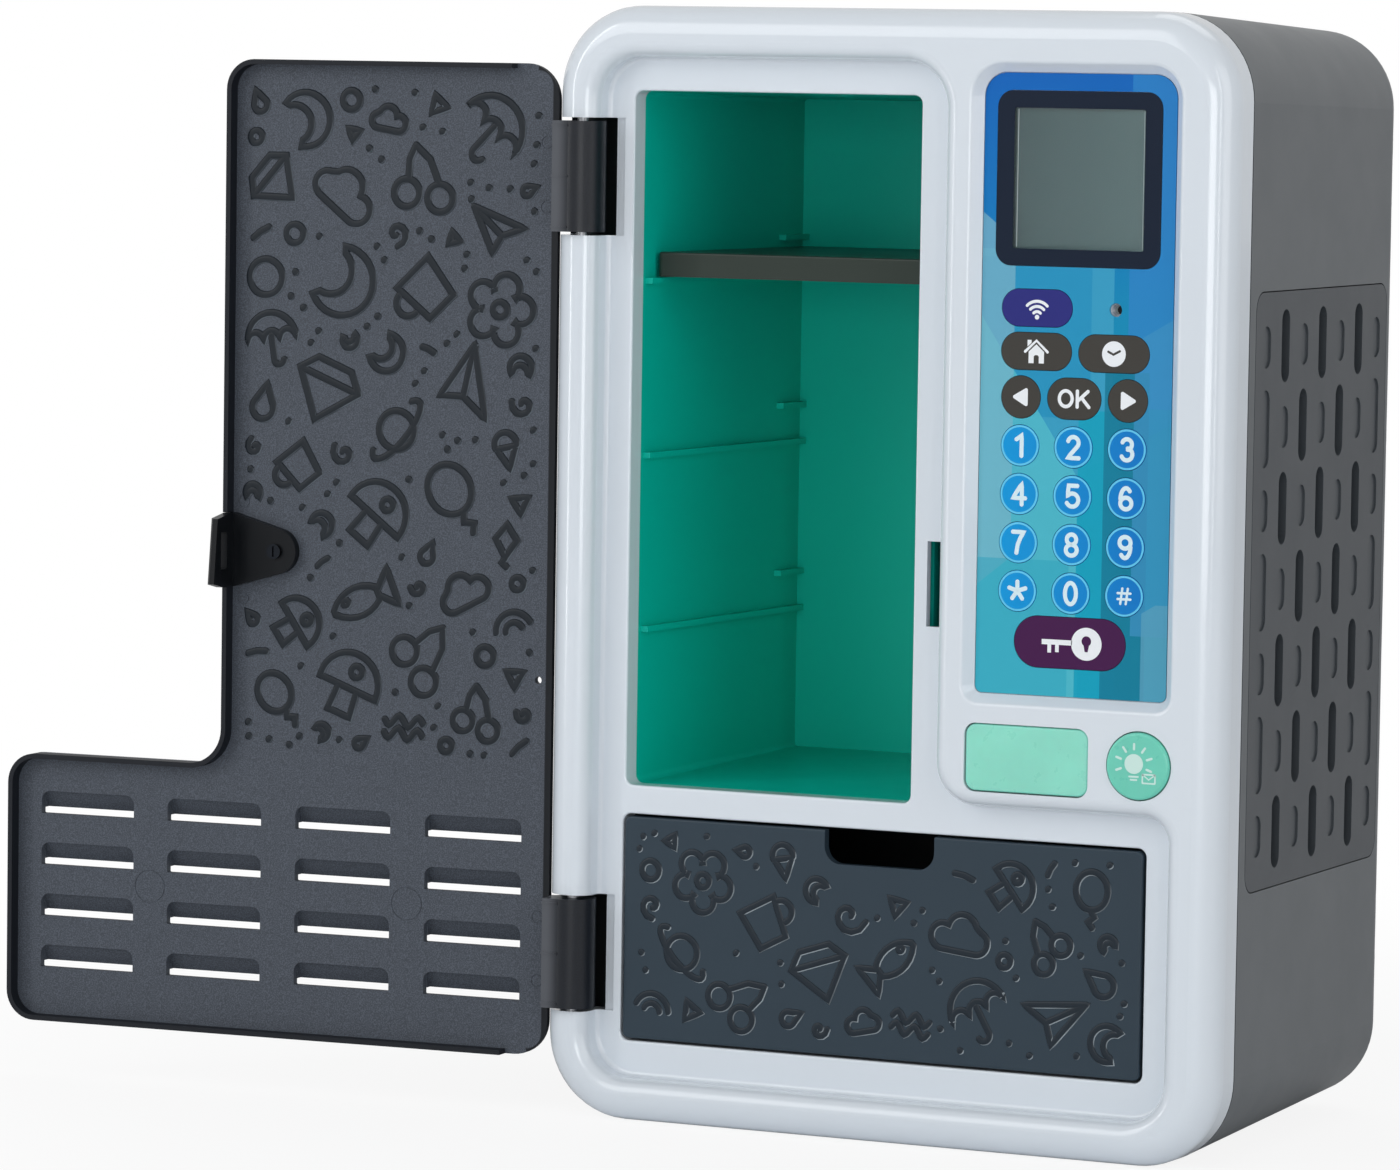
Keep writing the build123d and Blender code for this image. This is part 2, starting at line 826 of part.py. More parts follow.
def rear_case():
    left, right = -half_width, half_width
    body = drafted(left, right, 0, case_height, case_corner_radius, shell_front, case_depth, shell_draft_deg)
    body = fillet(edges_at(body, case_depth), shell_rear_round)
    foot = Pos(0, 0, plinth_height / 2) * Box(plinth_width, plinth_length, plinth_height)
    foot = fillet(foot.edges().filter_by(Axis.Z), plinth_corner_radius)
    body += foot
    inner = drafted(left + shell_wall, right - shell_wall, shell_wall, case_height - shell_wall,
                    case_corner_radius - shell_wall, shell_front, shell_back_inner, shell_draft_deg)
    inner = fillet(edges_at(inner, shell_back_inner), shell_rear_round - shell_wall)
    body -= inner

    # Tongue that centres the bezel, and the rib that carries it
    out = bezel_wall + tongue_clearance
    tongue = slab(case_outline(out), bezel_depth - tongue_depth, shell_front)
    tongue += slab(case_outline(shell_wall - tongue_lap), shell_front, shell_front + tongue_root)
    hollow = case_outline(out + tongue_wall)
    tongue -= slab(hollow, bezel_depth - tongue_depth - overcut, shell_front + tongue_root + overcut)
    for bottom in barrel_bottoms:
        low, high = bottom - hinge_block - tongue_notch_gap, bottom + barrel_height + hinge_block + tongue_notch_gap
        tongue -= block(-half_width, notch_end_x + bezel_wall + tongue_notch_side_gap, 0, shell_front, low, high)
    body += tongue

    # Screw posts with deep counterbores
    inset = screw_post_inset
    envelope = drafted(left + inset, right - inset, inset, case_height - inset, case_corner_radius, shell_front,
                       shell_back_inner + overcut, shell_draft_deg)
    for x, z in screw_points:
        body += rod(x, z, bezel_boss_end, shell_back_inner + overcut, screw_post_radius) & envelope
    for x, z in screw_points:
        body -= rod(x, z, screw_seat_depth - screw_seat_thickness, case_depth + overcut,
                    screw_head_radius + screw_head_fit)
        body -= rod(x, z, bezel_boss_end - overcut, screw_seat_depth, screw_radius + screw_hole_fit)
    for x, z in screw_points:
        start = screw_seat_depth - screw_seat_thickness
        seat = rod(x, z, start, screw_seat_depth, screw_post_radius)
        seat -= rod(x, z, start - overcut, screw_seat_depth + overcut, screw_radius + screw_hole_fit)
        body += seat & envelope

    # Vent openings on both sides
    opening = side_slab(vent_outline(vent_gap), -shell_wall - vent_cut_reach, vent_cut_reach)
    body -= opening
    body -= mirror(opening, about=Plane.YZ)

    # Battery bay opening with a ledge for the cover
    cover = (cover_left, cover_right, cover_bottom, cover_top, cover_radius)
    ledge_depth = shell_back_inner - cover_ledge
    body += slab(grown(*cover, cover_frame_width), ledge_depth, case_depth - cover_frame_sink)
    body -= slab(grown(*cover, cover_gap), bay_end_depth, case_depth + overcut)
    bay = rounded(bay_left, bay_right, bay_bottom, bay_top, bay_corner_radius)
    body -= slab(bay, ledge_depth - overcut, case_depth + overcut)
    return body - rod(bay_x, cover_screw_z, ledge_depth - overcut, case_depth, screw_radius + cover_screw_bite)


# ---------------------------------------------------------------------------
# Compartment liner and shelf
# ---------------------------------------------------------------------------
def liner_space(by=0.0, start=bezel_depth, end=liner_back_depth):
    """The tapered inner space of the liner, offset inwards, between two depths."""
    slope = math.tan(math.radians(liner_draft_deg))
    shrink = by + (start - bezel_depth) * slope
    limits = (opening_left + shrink, opening_right - shrink, opening_bottom + shrink, opening_top - shrink)
    return drafted(*limits, max(opening_radius - by, least_radius), start, end, liner_draft_deg)


def compartment_liner():
    outer = liner_space(-liner_wall, bezel_depth, liner_back_depth + liner_wall)
    limits = (opening_left, opening_right, opening_bottom, opening_top, opening_radius)
    body = outer + slab(grown(*limits, liner_flange), bezel_depth, bezel_depth + liner_flange_thickness)
    body -= liner_space(0)
    lining = liner_space(0) - liner_space(rail_width, bezel_depth - film, liner_back_depth + film)
    for top in rail_tops:
        band = block(opening_left, opening_right, bezel_depth + rail_start_gap, liner_back_depth,
                     top - rail_thickness, top)
        middle = block(opening_left + rail_reach, opening_right - rail_reach, 0, case_depth, top - rail_cut,
                       top + rail_cut)
        body += (band - middle) & lining
        low = top + stop_rib_rise
        rib = block(opening_left, opening_right, liner_back_depth - stop_rib_length, liner_back_depth,
                    low - rail_thickness, low)
        body += (rib - Pos(0, 0, stop_rib_rise) * middle) & lining
    lamp_x = (opening_left + opening_right) / 2
    lamp_hole = Pos(lamp_x, front_y + lamp_depth, opening_top) * Cylinder(lamp_radius, lamp_hole_length)
    return body - lamp_hole


def compartment_lamp():
    """Small lamp lens in the roof of the compartment."""
    lamp_x = (opening_left + opening_right) / 2
    roof = opening_top - (lamp_depth - bezel_depth) * math.tan(math.radians(liner_draft_deg))
    top = roof + liner_wall + lamp_cap_gap
    lens = Pos(lamp_x, front_y + lamp_depth, roof + lamp_sink)
    standing = (Align.CENTER, Align.CENTER, Align.MIN)
    body = lens * Cylinder(lamp_radius - lamp_fit, top - roof - lamp_sink, align=standing)
    cap = Pos(lamp_x, front_y + lamp_depth, top)
    body += cap * Cylinder(lamp_radius + lamp_cap_overhang, lamp_cap_thickness, align=standing)
    return body


def shelf():
    """Inverted tray that narrows to the back like the liner, resting on the top rails."""
    bottom = rail_tops[-1] + shelf_seat_gap
    back = liner_back_depth - shelf_back_clearance
    slope = math.tan(math.radians(liner_draft_deg))

    def outline(depth, by):
        shrink = (depth - bezel_depth) * slope + shelf_side_clearance + by
        return opening_left + shrink, opening_right - shrink

    def plan(by):
        near = outline(shelf_front_depth + by, by)
        far = outline(back - by, by)
        near_y, far_y = front_y + shelf_front_depth + by, front_y + back - by
        return Polyline((near[0], near_y), (near[1], near_y), (far[1], far_y), (far[0], far_y), close=True)

    body = extrude(make_face(plan(0)), amount=shelf_height)
    body = fillet(body.edges().filter_by(Axis.Z), shelf_corner_radius)
    body = fillet(body.edges().group_by(Axis.Z)[-1], shelf_edge_round)
    body -= extrude(make_face(plan(shelf_plate)), amount=shelf_height - shelf_plate)
    return Pos(0, 0, bottom) * body


# ---------------------------------------------------------------------------
# Drawer
# ---------------------------------------------------------------------------
def drawer_front():
    depth = drawer_front_depth
    body = slab(rounded(drawer_left, drawer_right, drawer_bottom, drawer_top, drawer_corner_radius), depth,
                depth + drawer_front_thickness)
    body = fillet(edges_at(body, depth), drawer_edge_round)
    left, right = notch_centre_x - notch_width / 2, notch_centre_x + notch_width / 2
    notch = rounded(left, right, drawer_top - notch_drop, drawer_top + notch_drop, notch_radius)
    return body - slab(notch, depth - overcut, depth + drawer_front_thickness + overcut)


def drawer_tray():
    start = drawer_front_depth + drawer_front_thickness
    left, right = drawer_left + tray_inset, drawer_right - tray_inset
    bottom = drawer_bottom + tray_inset
    top = bottom + tray_height
    body = block(left, right, start, tray_back_depth, bottom, top)
    body = fillet(body.edges().filter_by(Axis.Y).group_by(Axis.Z)[0], tray_edge_round)
    body -= block(left + tray_wall, right - tray_wall, start + tray_wall, tray_back_depth - tray_wall,
                  bottom + tray_wall, top + overcut)
    return body


def drawer_housing():
    """Sleeve that carries the tray on two runners, closed at the back."""
    gap = housing_clearance
    left, right = drawer_left + tray_inset - gap, drawer_right - tray_inset + gap
    bottom, top = drawer_bottom + tray_inset - gap, drawer_top + gap
    back = tray_back_depth + housing_back_gap
    wall = housing_wall
    body = block(left - wall, right + wall, bezel_depth, back + wall, bottom - wall, top + wall)
    body -= block(left, right, bezel_depth - overcut, back, bottom, top)
    for x in (left + runner_inset, right - runner_inset):
        body += block(x - runner_width / 2, x + runner_width / 2, bezel_depth + runner_start_gap, back,
                      bottom - wall / 2, bottom + runner_thickness)
    return body


# ---------------------------------------------------------------------------
# Door and hinges, modelled closed and then swung open about the hinge axis
# ---------------------------------------------------------------------------
def leaf_x(distance):
    """X of a point at a distance along the closed leaf from the hinge axis."""
    return axis_x + distance


def swing(solid):
    """Swing a closed door piece to its open rest position."""
    pivot = Pos(axis_x, front_y + axis_depth, 0)
    return pivot * Rot(0, 0, -door_open_deg) * pivot.inverse() * solid


door_outer_depth = axis_depth - door_wall
rim_end_depth = axis_depth + door_rim_height


def door_outline(by=0.0):
    """L-shaped outline of the closed leaf, offset inwards."""
    left, tall, low = leaf_x(leaf_start) + by, leaf_x(leaf_tall_end) - by, leaf_x(leaf_low_end) - by
    bottom, step, top = door_bottom + by, door_low_top - by, door_top - by
    corners = [(left, bottom), (low, bottom), (low, step), (tall, step), (tall, top), (left, top)]
    outer, hinge_side = door_corner_radius - by, door_hinge_corner_radius - by
    radii = [hinge_side, outer, outer, door_step_radius + by, outer, hinge_side]
    face = make_face(Polyline(*corners, close=True))
    for corner, radius in zip(corners, radii):
        vertex = min(face.vertices(), key=lambda v: math.hypot(v.X - corner[0], v.Y - corner[1]))
        face = fillet(vertex, radius)
    return face


def louvre_places():
    """Left edge and bottom edge of every louvre on the closed leaf."""
    places = []
    for column in range(louvre_columns):
        for row in range(louvre_rows):
            centre = leaf_x(louvre_first + column * louvre_pitch)
            places.append((centre - louvre_width / 2, louvre_bottom + row * louvre_row_pitch))
    return places


def louvre_hood(left, bottom):
    """Sloping hood over one louvre slot, on the outer face."""
    top = bottom + louvre_height
    face_depth = door_outer_depth
    foot = bottom + louvre_gap
    lip_depth = face_depth - louvre_bulge
    points = [(face_depth + louvre_plate, top), (face_depth, top + louvre_lap), (lip_depth, foot),
              (lip_depth + louvre_plate, foot)]
    root_depth = face_depth + louvre_root
    side = [(root_depth, top), (face_depth, top + louvre_lap), (lip_depth, foot), (root_depth, foot)]

    def plate(outline, start, width):
        plane = Plane(origin=(start, 0, 0), x_dir=(0, 1, 0), z_dir=(1, 0, 0))
        return extrude(plane * make_face(Polyline(*[(front_y + d, z) for d, z in outline], close=True)), amount=width)

    hood = plate(points, left - louvre_overhang, louvre_width + 2 * louvre_overhang)
    for start in (left - louvre_overhang, left + louvre_width + louvre_overhang - louvre_cheek):
        hood += plate(side, start, louvre_cheek)
    return hood


def ejector_marks():
    """Distance along the leaf, height and radius of every round mark on its inner face."""
    marks = [(along, door_bottom + large_mark_rise, large_mark_radius) for along in large_mark_distances]
    for bottom in barrel_bottoms:
        marks += [(hinge_mark_distance, bottom + rise, small_mark_radius) for rise in hinge_mark_rises]
    marks += [(hook_mark_distance, hook_bottom + rise, small_mark_radius) for rise in hook_mark_rises]
    return marks


def door_panel():
    body = slab(door_outline(), door_outer_depth, rim_end_depth)
    body = fillet(edges_at(body, door_outer_depth), door_edge_round)
    reach = rim_cut_reach
    bare_side = rounded(leaf_x(leaf_start) - reach, leaf_x(rim_start), door_bottom - reach, door_top + reach,
                        rim_cut_radius)
    body -= slab(door_outline(door_rim_wall) + bare_side, axis_depth, rim_end_depth + overcut)
    for left, bottom in louvre_places():
        right, top = left + louvre_width, bottom + louvre_height
        slot = rounded(left, right, bottom, top, louvre_radius)
        slot += rounded(left, right, bottom, top - louvre_radius, least_radius)
        body -= slab(slot, door_outer_depth - overcut, axis_depth + overcut)
    for left, bottom in louvre_places():
        body += louvre_hood(left, bottom)
    gap = hook_rim_gap
    body -= block(leaf_x(hook_start) - gap, leaf_x(leaf_tall_end) + overcut, axis_depth, rim_end_depth + overcut,
                  hook_bottom - gap, hook_bottom + hook_root_height + gap)
    hole_z = case_height - door_hole_drop
    body -= rod(leaf_x(door_hole_distance), hole_z, door_outer_depth - overcut, axis_depth + overcut,
                door_hole_radius)
    for along, z, radius in ejector_marks():
        ring = Circle(radius) - Circle(radius - mark_width)
        body -= slab(Pos(leaf_x(along), z) * ring, axis_depth - mark_depth, axis_depth + overcut)
    return swing(body)


def hinge_arm(bottom):
    """Barrel in a square arm that abuts the leaf's edge, with three thin ribs across the arm."""
    y = front_y + axis_depth
    skin_y = front_y + door_outer_depth
    arm = Pos(leaf_x(arm_reach / 2), (skin_y + y + arm_rise) / 2) * Rectangle(arm_reach, y + arm_rise - skin_y)
    foot = Pos(leaf_x(leaf_start / 2), (skin_y + y) / 2) * Rectangle(leaf_start, y - skin_y)
    section = Pos(axis_x, y) * Circle(barrel_radius) + arm + foot
    body = extrude(Pos(0, 0, bottom) * section, amount=barrel_height)
    end = bottom + barrel_height
    for z in (bottom + arm_rib_inset, (bottom + end) / 2, end - arm_rib_inset):
        body += block(leaf_x(arm_rib_start), leaf_x(arm_rib_reach), axis_depth, axis_depth + arm_rise + arm_rib_rise,
                      z - arm_rib_width / 2, z + arm_rib_width / 2)
    bore = Pos(axis_x, y, (bottom + end) / 2)
    body -= bore * Cylinder(pin_radius + pin_running_gap, barrel_height + 2 * overcut)
    return swing(body)


def hinge_pin(bottom):
    length = barrel_height + 2 * notch_margin + 2 * pin_seat
    pin = Cylinder(pin_radius, length)
    pin = chamfer(pin.edges(), pin_chamfer)
    return Pos(axis_x, front_y + axis_depth, bottom + barrel_height / 2) * pin


def door_hook():
    """Catch plate with a window for the bolt, on a foot that tapers to a round screw boss."""
    left, right = leaf_x(hook_start), leaf_x(hook_start + hook_thickness)
    middle = hook_bottom + hook_root_height / 2
    top = hook_bottom + hook_root_height
    end = axis_depth + hook_reach
    points = [(axis_depth, hook_bottom), (end - hook_tip_length, hook_bottom), (end, hook_bottom + hook_tip_taper),
              (end - hook_tip_slant, top - hook_tip_taper), (rim_end_depth, top), (axis_depth, top)]
    plane = Plane(origin=(left, 0, 0), x_dir=(0, 1, 0), z_dir=(1, 0, 0))
    outline = Polyline(*[(front_y + d, z) for d, z in points], close=True)
    body = extrude(plane * make_face(outline), amount=hook_thickness)
    tip_face = [e for e in body.edges() if e.center().Y > front_y + end - hook_tip_slant]
    body = chamfer(max(tip_face, key=lambda e: e.center().X), hook_tip_chamfer)
    base_left = right - hook_base_length
    root = Pos((left + right) / 2, middle) * Rectangle(hook_thickness, hook_root_height)
    boss = Pos(base_left, middle) * Circle(hook_boss_radius)
    foot = make_hull(root.edges() + boss.edges())
    body += slab(foot, axis_depth, axis_depth + hook_base_height)
    window_start = axis_depth + hook_window_start
    window = block(left - overcut, right + overcut, window_start, window_start + hook_window_depth,
                   middle - hook_window_height / 2, middle + hook_window_height / 2)
    body -= window
    body -= rod(base_left, middle, axis_depth - overcut, axis_depth + hook_base_height + overcut,
                hook_screw_radius)
    return swing(body)


def hook_screw():
    x = leaf_x(hook_start + hook_thickness) - hook_base_length
    z = hook_bottom + hook_root_height / 2
    top = axis_depth + hook_base_height
    end = top + hook_screw_head_height
    body = rod(x, z, axis_depth + hook_screw_end_gap, top, hook_screw_radius - hook_screw_fit)
    body += rod(x, z, top, end, hook_screw_head_radius)
    half_width_of_slot, half_length = hook_screw_slot_width / 2, hook_screw_slot_length / 2
    slot = block(x - half_width_of_slot, x + half_width_of_slot, end - hook_screw_slot_depth, end + overcut,
                 z - half_length, z + half_length)
    return swing(body - slot)


# ---------------------------------------------------------------------------
# Lock
# ---------------------------------------------------------------------------
lock_z = hook_bottom + hook_root_height / 2
bolt_length = bolt_guided_length + bolt_travel
bolt_start = axis_depth + hook_window_start + (hook_window_depth - bolt_thickness) / 2 + bolt_offset
lock_start = recess_depth + floor_wall


def lock_bolt():
    left = keeper_right + bolt_end_gap
    body = block(left, left + bolt_length, bolt_start, bolt_start + bolt_thickness, lock_z - bolt_height / 2,
                 lock_z + bolt_height / 2)
    nose = body.edges().filter_by(Axis.Z).group_by(Axis.X)[0]
    return chamfer(nose, bolt_nose)


def lock_housing():
    """Box that guides the bolt and holds the motor."""
    right = lock_left + lock_length
    end = lock_start + lock_body_depth
    body = block(lock_left, right, lock_start, end, lock_z - lock_height / 2, lock_z + lock_height / 2)
    channel = block(lock_left - overcut, keeper_right + bolt_length + 4 * bolt_end_gap, bolt_start - bolt_gap,
                    bolt_start + bolt_thickness + bolt_gap, lock_z - bolt_height / 2 - bolt_gap,
                    lock_z + bolt_height / 2 + bolt_gap)
    return body - channel


def lock_motor():
    start = lock_start + lock_body_depth
    return slab(Pos(lock_left + lock_length / 2, lock_z) * Circle(motor_radius), start, start + motor_length)


# ---------------------------------------------------------------------------
# Keypad, screen, lights and buttons
# ---------------------------------------------------------------------------
def keypad_overlay():
    body = slab(pad_outline(), pad_depth, pad_floor_depth)
    lens = (lens_left, lens_right, lens_bottom, lens_top, lens_radius)
    end = pad_floor_depth + overcut
    body -= slab(grown(*lens, lens_fit), 0, end)
    for _, x, z, width, height in key_shapes():
        body -= slab(key_outline(x, z, width, height, key_fit), 0, end)
    return body - rod(mic_x, mic_z, 0, end, mic_hole_radius)


def screen_lens():
    lens = rounded(lens_left, lens_right, lens_bottom, lens_top, lens_radius)
    return slab(lens, pad_floor_depth - lens_thickness, pad_floor_depth)


def screen_module():
    """Display glass in the window, on a frame that seats behind the keypad's backing."""
    body = slab(screen_window(screen_glass_border), screen_depth, pad_back_depth)
    return body + slab(screen_window(screen_frame), pad_back_depth, pad_back_depth + screen_frame_thickness)


def key_cap(x, z, width, height):
    top = pad_depth - key_proud
    body = slab(key_outline(x, z, width, height), top, pad_back_depth - key_rest_gap)
    return fillet(edges_at(body, top), key_edge_round)


def behind_keys(start, thickness):
    """Sheet behind the keys between two depths, with holes for the board posts and the microphone."""
    left, right = pad_centre_x - pad_width / 2, pad_centre_x + pad_width / 2
    top = lens_centre_z - screen_height / 2 - screen_frame - sheet_margin
    outline = rounded(left, right, pad_bottom + sheet_margin, top, sheet_corner_radius)
    sheet = slab(outline, start, start + thickness)
    for x, z in board_posts():
        sheet -= rod(x, z, 0, board_depth, post_radius + post_clearance)
    return sheet - rod(mic_x, mic_z, 0, board_depth, mic_radius + mic_fit)


def dome_mat():
    """Rubber mat behind the keys, with a dimple under each one."""
    body = behind_keys(pad_back_depth, mat_thickness)
    end = pad_back_depth + mat_thickness
    for _, x, z, _, _ in key_shapes():
        body -= rod(x, z, end - mat_dimple_depth, end + overcut, mat_dimple_radius)
    return body


def keypad_circuit():
    return behind_keys(pad_back_depth + mat_thickness, circuit_thickness)


def microphone():
    return rod(mic_x, mic_z, pad_back_depth, pad_back_depth + mic_length, mic_radius)


def message_light():
    """Translucent window with a flange behind the bezel."""
    limits = (light_left, light_right, light_bottom, light_top, light_radius)
    body = slab(rounded(*limits), light_sink, front_skin)
    body = fillet(edges_at(body, light_sink), light_edge_round)
    return body + slab(grown(*limits, light_flange), front_skin, front_skin + light_flange_thickness)


def message_lamp_board():
    start = front_skin + light_flange_thickness
    end = start + lamp_height
    side, rise = lamp_board_side_inset, lamp_board_end_inset
    outline = rounded(light_left + side, light_right - side, light_bottom + rise, light_top - rise,
                      lamp_board_radius)
    board = slab(outline, end, end + lamp_board_thickness)
    middle, half = (light_bottom + light_top) / 2, lamp_side / 2
    for index in range(lamp_count):
        x = light_left + light_width * (index + 1) / (lamp_count + 1)
        board += block(x - half, x + half, start, end, middle - half, middle + half)
    return board


def light_button():
    body = rod(button_x, button_z, -button_proud, button_length - button_proud, button_radius)
    body = fillet(edges_at(body, -button_proud), button_edge_round)
    start = front_skin + button_seat_gap
    return body + rod(button_x, button_z, start, button_length - button_proud, button_radius + button_flange)


def button_switch():
    start = button_length - button_proud + button_travel + switch_gap
    end = start + switch_height
    half = switch_side / 2
    body = block(button_x - half, button_x + half, start, end, button_z - half, button_z + half)
    reach, rise = bracket_width / 2, bracket_height / 2
    bracket = block(button_x - reach, button_x + reach, end, end + bracket_thickness, button_z - rise,
                    button_z + rise)
    leg_rise = bracket_leg_height / 2
    for left in (button_x - reach, button_x + reach - bracket_leg_width):
        bracket += block(left, left + bracket_leg_width, front_skin, end, button_z - leg_rise, button_z + leg_rise)
    return body + bracket


# ---------------------------------------------------------------------------
# Electronics and battery bay
# ---------------------------------------------------------------------------
def main_board():
    body = block(board_left, board_left + board_width, board_depth, board_depth + board_thickness, board_bottom,
                 board_bottom + board_height)
    end = board_depth + board_thickness
    for along, up, width, height, rise in board_chips:
        x, z = board_left + along, board_bottom + up
        body += block(x - width / 2, x + width / 2, end, end + rise, z - height / 2, z + height / 2)
    return body


def speaker():
    z = speaker_z - vent_bottom - vent_height / 2
    seat = vent_back
    rim_start = seat - speaker_rim_thickness
    body = side_slab(Pos(0, z) * Circle(speaker_radius), rim_start, seat)
    body += side_slab(Pos(0, z) * Circle(speaker_magnet_radius), seat - speaker_length, rim_start)
    return body - side_slab(Pos(0, z) * Circle(speaker_cone_radius), seat - speaker_cone_depth, seat + overcut)


def battery_box():
    wall = bay_wall
    end = shell_back_inner - cover_ledge
    body = block(bay_left - wall, bay_right + wall, bay_start_depth - wall, end, bay_bottom - wall, bay_top + wall)
    return body - block(bay_left, bay_right, bay_start_depth, end + overcut, bay_bottom, bay_top)


def cell_x(index):
    return bay_x + (index - (cell_count - 1) / 2) * cell_pitch


def batteries():
    """Four AA cells standing side by side, alternate ends up."""
    depth = bay_start_depth + cell_radius + cell_lift
    middle = (bay_bottom + bay_top) / 2
    cells = []
    for index in range(cell_count):
        up = 1 if index % 2 == 0 else -1
        cell = Cylinder(cell_radius, cell_length - cell_nub_height)
        nub = Pos(0, 0, up * cell_length / 2) * Cylinder(cell_nub_radius, cell_nub_height)
        cells.append(Pos(cell_x(index), front_y + depth, middle) * (cell + nub))
    return cells


def battery_contacts():
    """Sprung plates at both ends of each cell."""
    depth = bay_start_depth + cell_radius
    half = contact_side / 2
    plates = []
    for index in range(cell_count):
        x = cell_x(index)
        for z in (bay_bottom, bay_top - contact_thickness):
            plates.append(block(x - half, x + half, depth - half, depth + half, z, z + contact_thickness))
    return plates


def battery_cover():
    start = case_depth - cover_thickness
    body = slab(rounded(cover_left, cover_right, cover_bottom, cover_top, cover_radius), start, case_depth)
    body = fillet(edges_at(body, case_depth), cover_edge_round)
    bay = (bay_left, bay_right, bay_bottom, bay_top, bay_corner_radius)
    body += slab(grown(*bay, -cover_rib_inset), start - cover_rib_height, start)
    body -= slab(grown(*bay, -cover_rib_inset - cover_rib_wall), start - cover_rib_height - overcut, start)
    reach = cover_grip_width / 2
    for step in range(cover_grip_count):
        z = cover_bottom + cover_grip_rise + step * cover_grip_pitch
        body -= block(bay_x - reach, bay_x + reach, case_depth - cover_grip_depth, case_depth + overcut, z,
                      z + cover_grip_height)
    body -= rod(bay_x, cover_screw_z, start - overcut, case_depth + overcut, screw_radius + cover_screw_fit)
    return body - rod(bay_x, cover_screw_z, case_depth - cover_screw_head_depth, case_depth + overcut,
                      screw_head_radius + cover_screw_head_fit)


def battery_cover_screw():
    seat = case_depth - cover_screw_head_depth
    end = case_depth - cover_screw_sink
    body = rod(bay_x, cover_screw_z, seat, end, screw_head_radius)
    body += rod(bay_x, cover_screw_z, seat - cover_screw_length, seat, screw_radius)
    return body - cross_slot(bay_x, cover_screw_z, end - cover_screw_slot_depth)


def cross_slot(x, z, depth):
    """Cross recess in a screw head that faces the back."""
    length, width = screw_slot_length / 2, screw_slot_width / 2
    end = depth + screw_slot_depth + overcut
    bar = block(x - length, x + length, depth, end, z - width, z + width)
    return bar + block(x - width, x + width, depth, end, z - length, z + length)


def case_screws():
    screws = []
    start, end = screw_seat_depth - screw_length + screw_end_gap, screw_seat_depth + screw_head_height
    for x, z in screw_points:
        head = rod(x, z, screw_seat_depth, end, screw_head_radius)
        shank = rod(x, z, start, screw_seat_depth, screw_radius - screw_bite)
        screws.append(head + shank - cross_slot(x, z, end - screw_slot_depth))
    return screws


# ---------------------------------------------------------------------------
# Assembly
# ---------------------------------------------------------------------------
keep("front_bezel", front_bezel())
keep("rear_case", rear_case())
panel = right_vent_panel()
keep("right_vent_panel", panel)
keep("left_vent_panel", left_vent_panel(panel))
keep("compartment_liner", compartment_liner())
keep("compartment_lamp", compartment_lamp())
keep("shelf", shelf())
keep("drawer_front", drawer_front())
keep("drawer_tray", drawer_tray())
keep("drawer_housing", drawer_housing())
keep("door_panel", door_panel())
for side, start_z in zip(("lower", "upper"), barrel_bottoms):
    keep(f"{side}_hinge_arm", hinge_arm(start_z))
    keep(f"{side}_hinge_pin", hinge_pin(start_z))
keep("door_hook", door_hook())
keep("hook_screw", hook_screw())
keep("lock_bolt", lock_bolt())
keep("lock_housing", lock_housing())
keep("lock_motor", lock_motor())
keep("keypad_overlay", keypad_overlay())
keep("screen_lens", screen_lens())
keep("screen_module", screen_module())
for name, key_x, key_z, key_width, key_height in key_shapes():
    keep(name, key_cap(key_x, key_z, key_width, key_height))
keep("dome_mat", dome_mat())
keep("keypad_circuit", keypad_circuit())
keep("microphone", microphone())
keep("message_light", message_light())
keep("message_lamp_board", message_lamp_board())
keep("light_button", light_button())
keep("button_switch", button_switch())
keep("main_board", main_board())
keep("speaker", speaker())
keep("battery_box", battery_box())
keep("batteries", batteries())
keep("battery_contacts", battery_contacts())
keep("battery_cover", battery_cover())
keep("battery_cover_screw", battery_cover_screw())
keep("case_screws", case_screws())

os.makedirs("parts", exist_ok=True)
for name, solid in PARTS.items():
    shape = Compound(children=list(solid)) if isinstance(solid, list) else solid
    export_step(shape, f"parts/{name}.step")
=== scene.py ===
"""Looks of the electronic secret diary: finishes, printed keys, screen, reliefs and studio."""
import json
import math
import random
from functools import partial

import bmesh
import bpy
from mathutils import Matrix, Vector


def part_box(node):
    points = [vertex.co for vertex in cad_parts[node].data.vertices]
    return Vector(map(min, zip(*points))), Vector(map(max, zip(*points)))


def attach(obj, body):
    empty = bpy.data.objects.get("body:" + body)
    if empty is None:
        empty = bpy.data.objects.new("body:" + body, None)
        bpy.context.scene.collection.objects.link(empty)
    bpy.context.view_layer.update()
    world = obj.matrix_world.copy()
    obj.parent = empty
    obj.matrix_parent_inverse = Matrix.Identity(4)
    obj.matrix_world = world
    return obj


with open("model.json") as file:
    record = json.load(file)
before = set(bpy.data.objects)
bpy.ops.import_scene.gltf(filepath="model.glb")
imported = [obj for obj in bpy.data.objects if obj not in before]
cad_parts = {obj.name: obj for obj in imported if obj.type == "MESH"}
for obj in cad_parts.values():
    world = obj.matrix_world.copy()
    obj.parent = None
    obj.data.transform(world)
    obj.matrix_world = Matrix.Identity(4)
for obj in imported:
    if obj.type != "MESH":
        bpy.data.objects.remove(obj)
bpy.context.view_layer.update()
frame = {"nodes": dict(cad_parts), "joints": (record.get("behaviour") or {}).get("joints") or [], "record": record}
nodes = frame["nodes"]

MM = 0.001


# ---------------------------------------------------------------------------
# Places taken from the frame
# ---------------------------------------------------------------------------
def low(node):
    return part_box(node)[0]


def high(node):
    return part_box(node)[1]


def centre(node):
    lowest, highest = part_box(node)
    return (lowest + highest) / 2


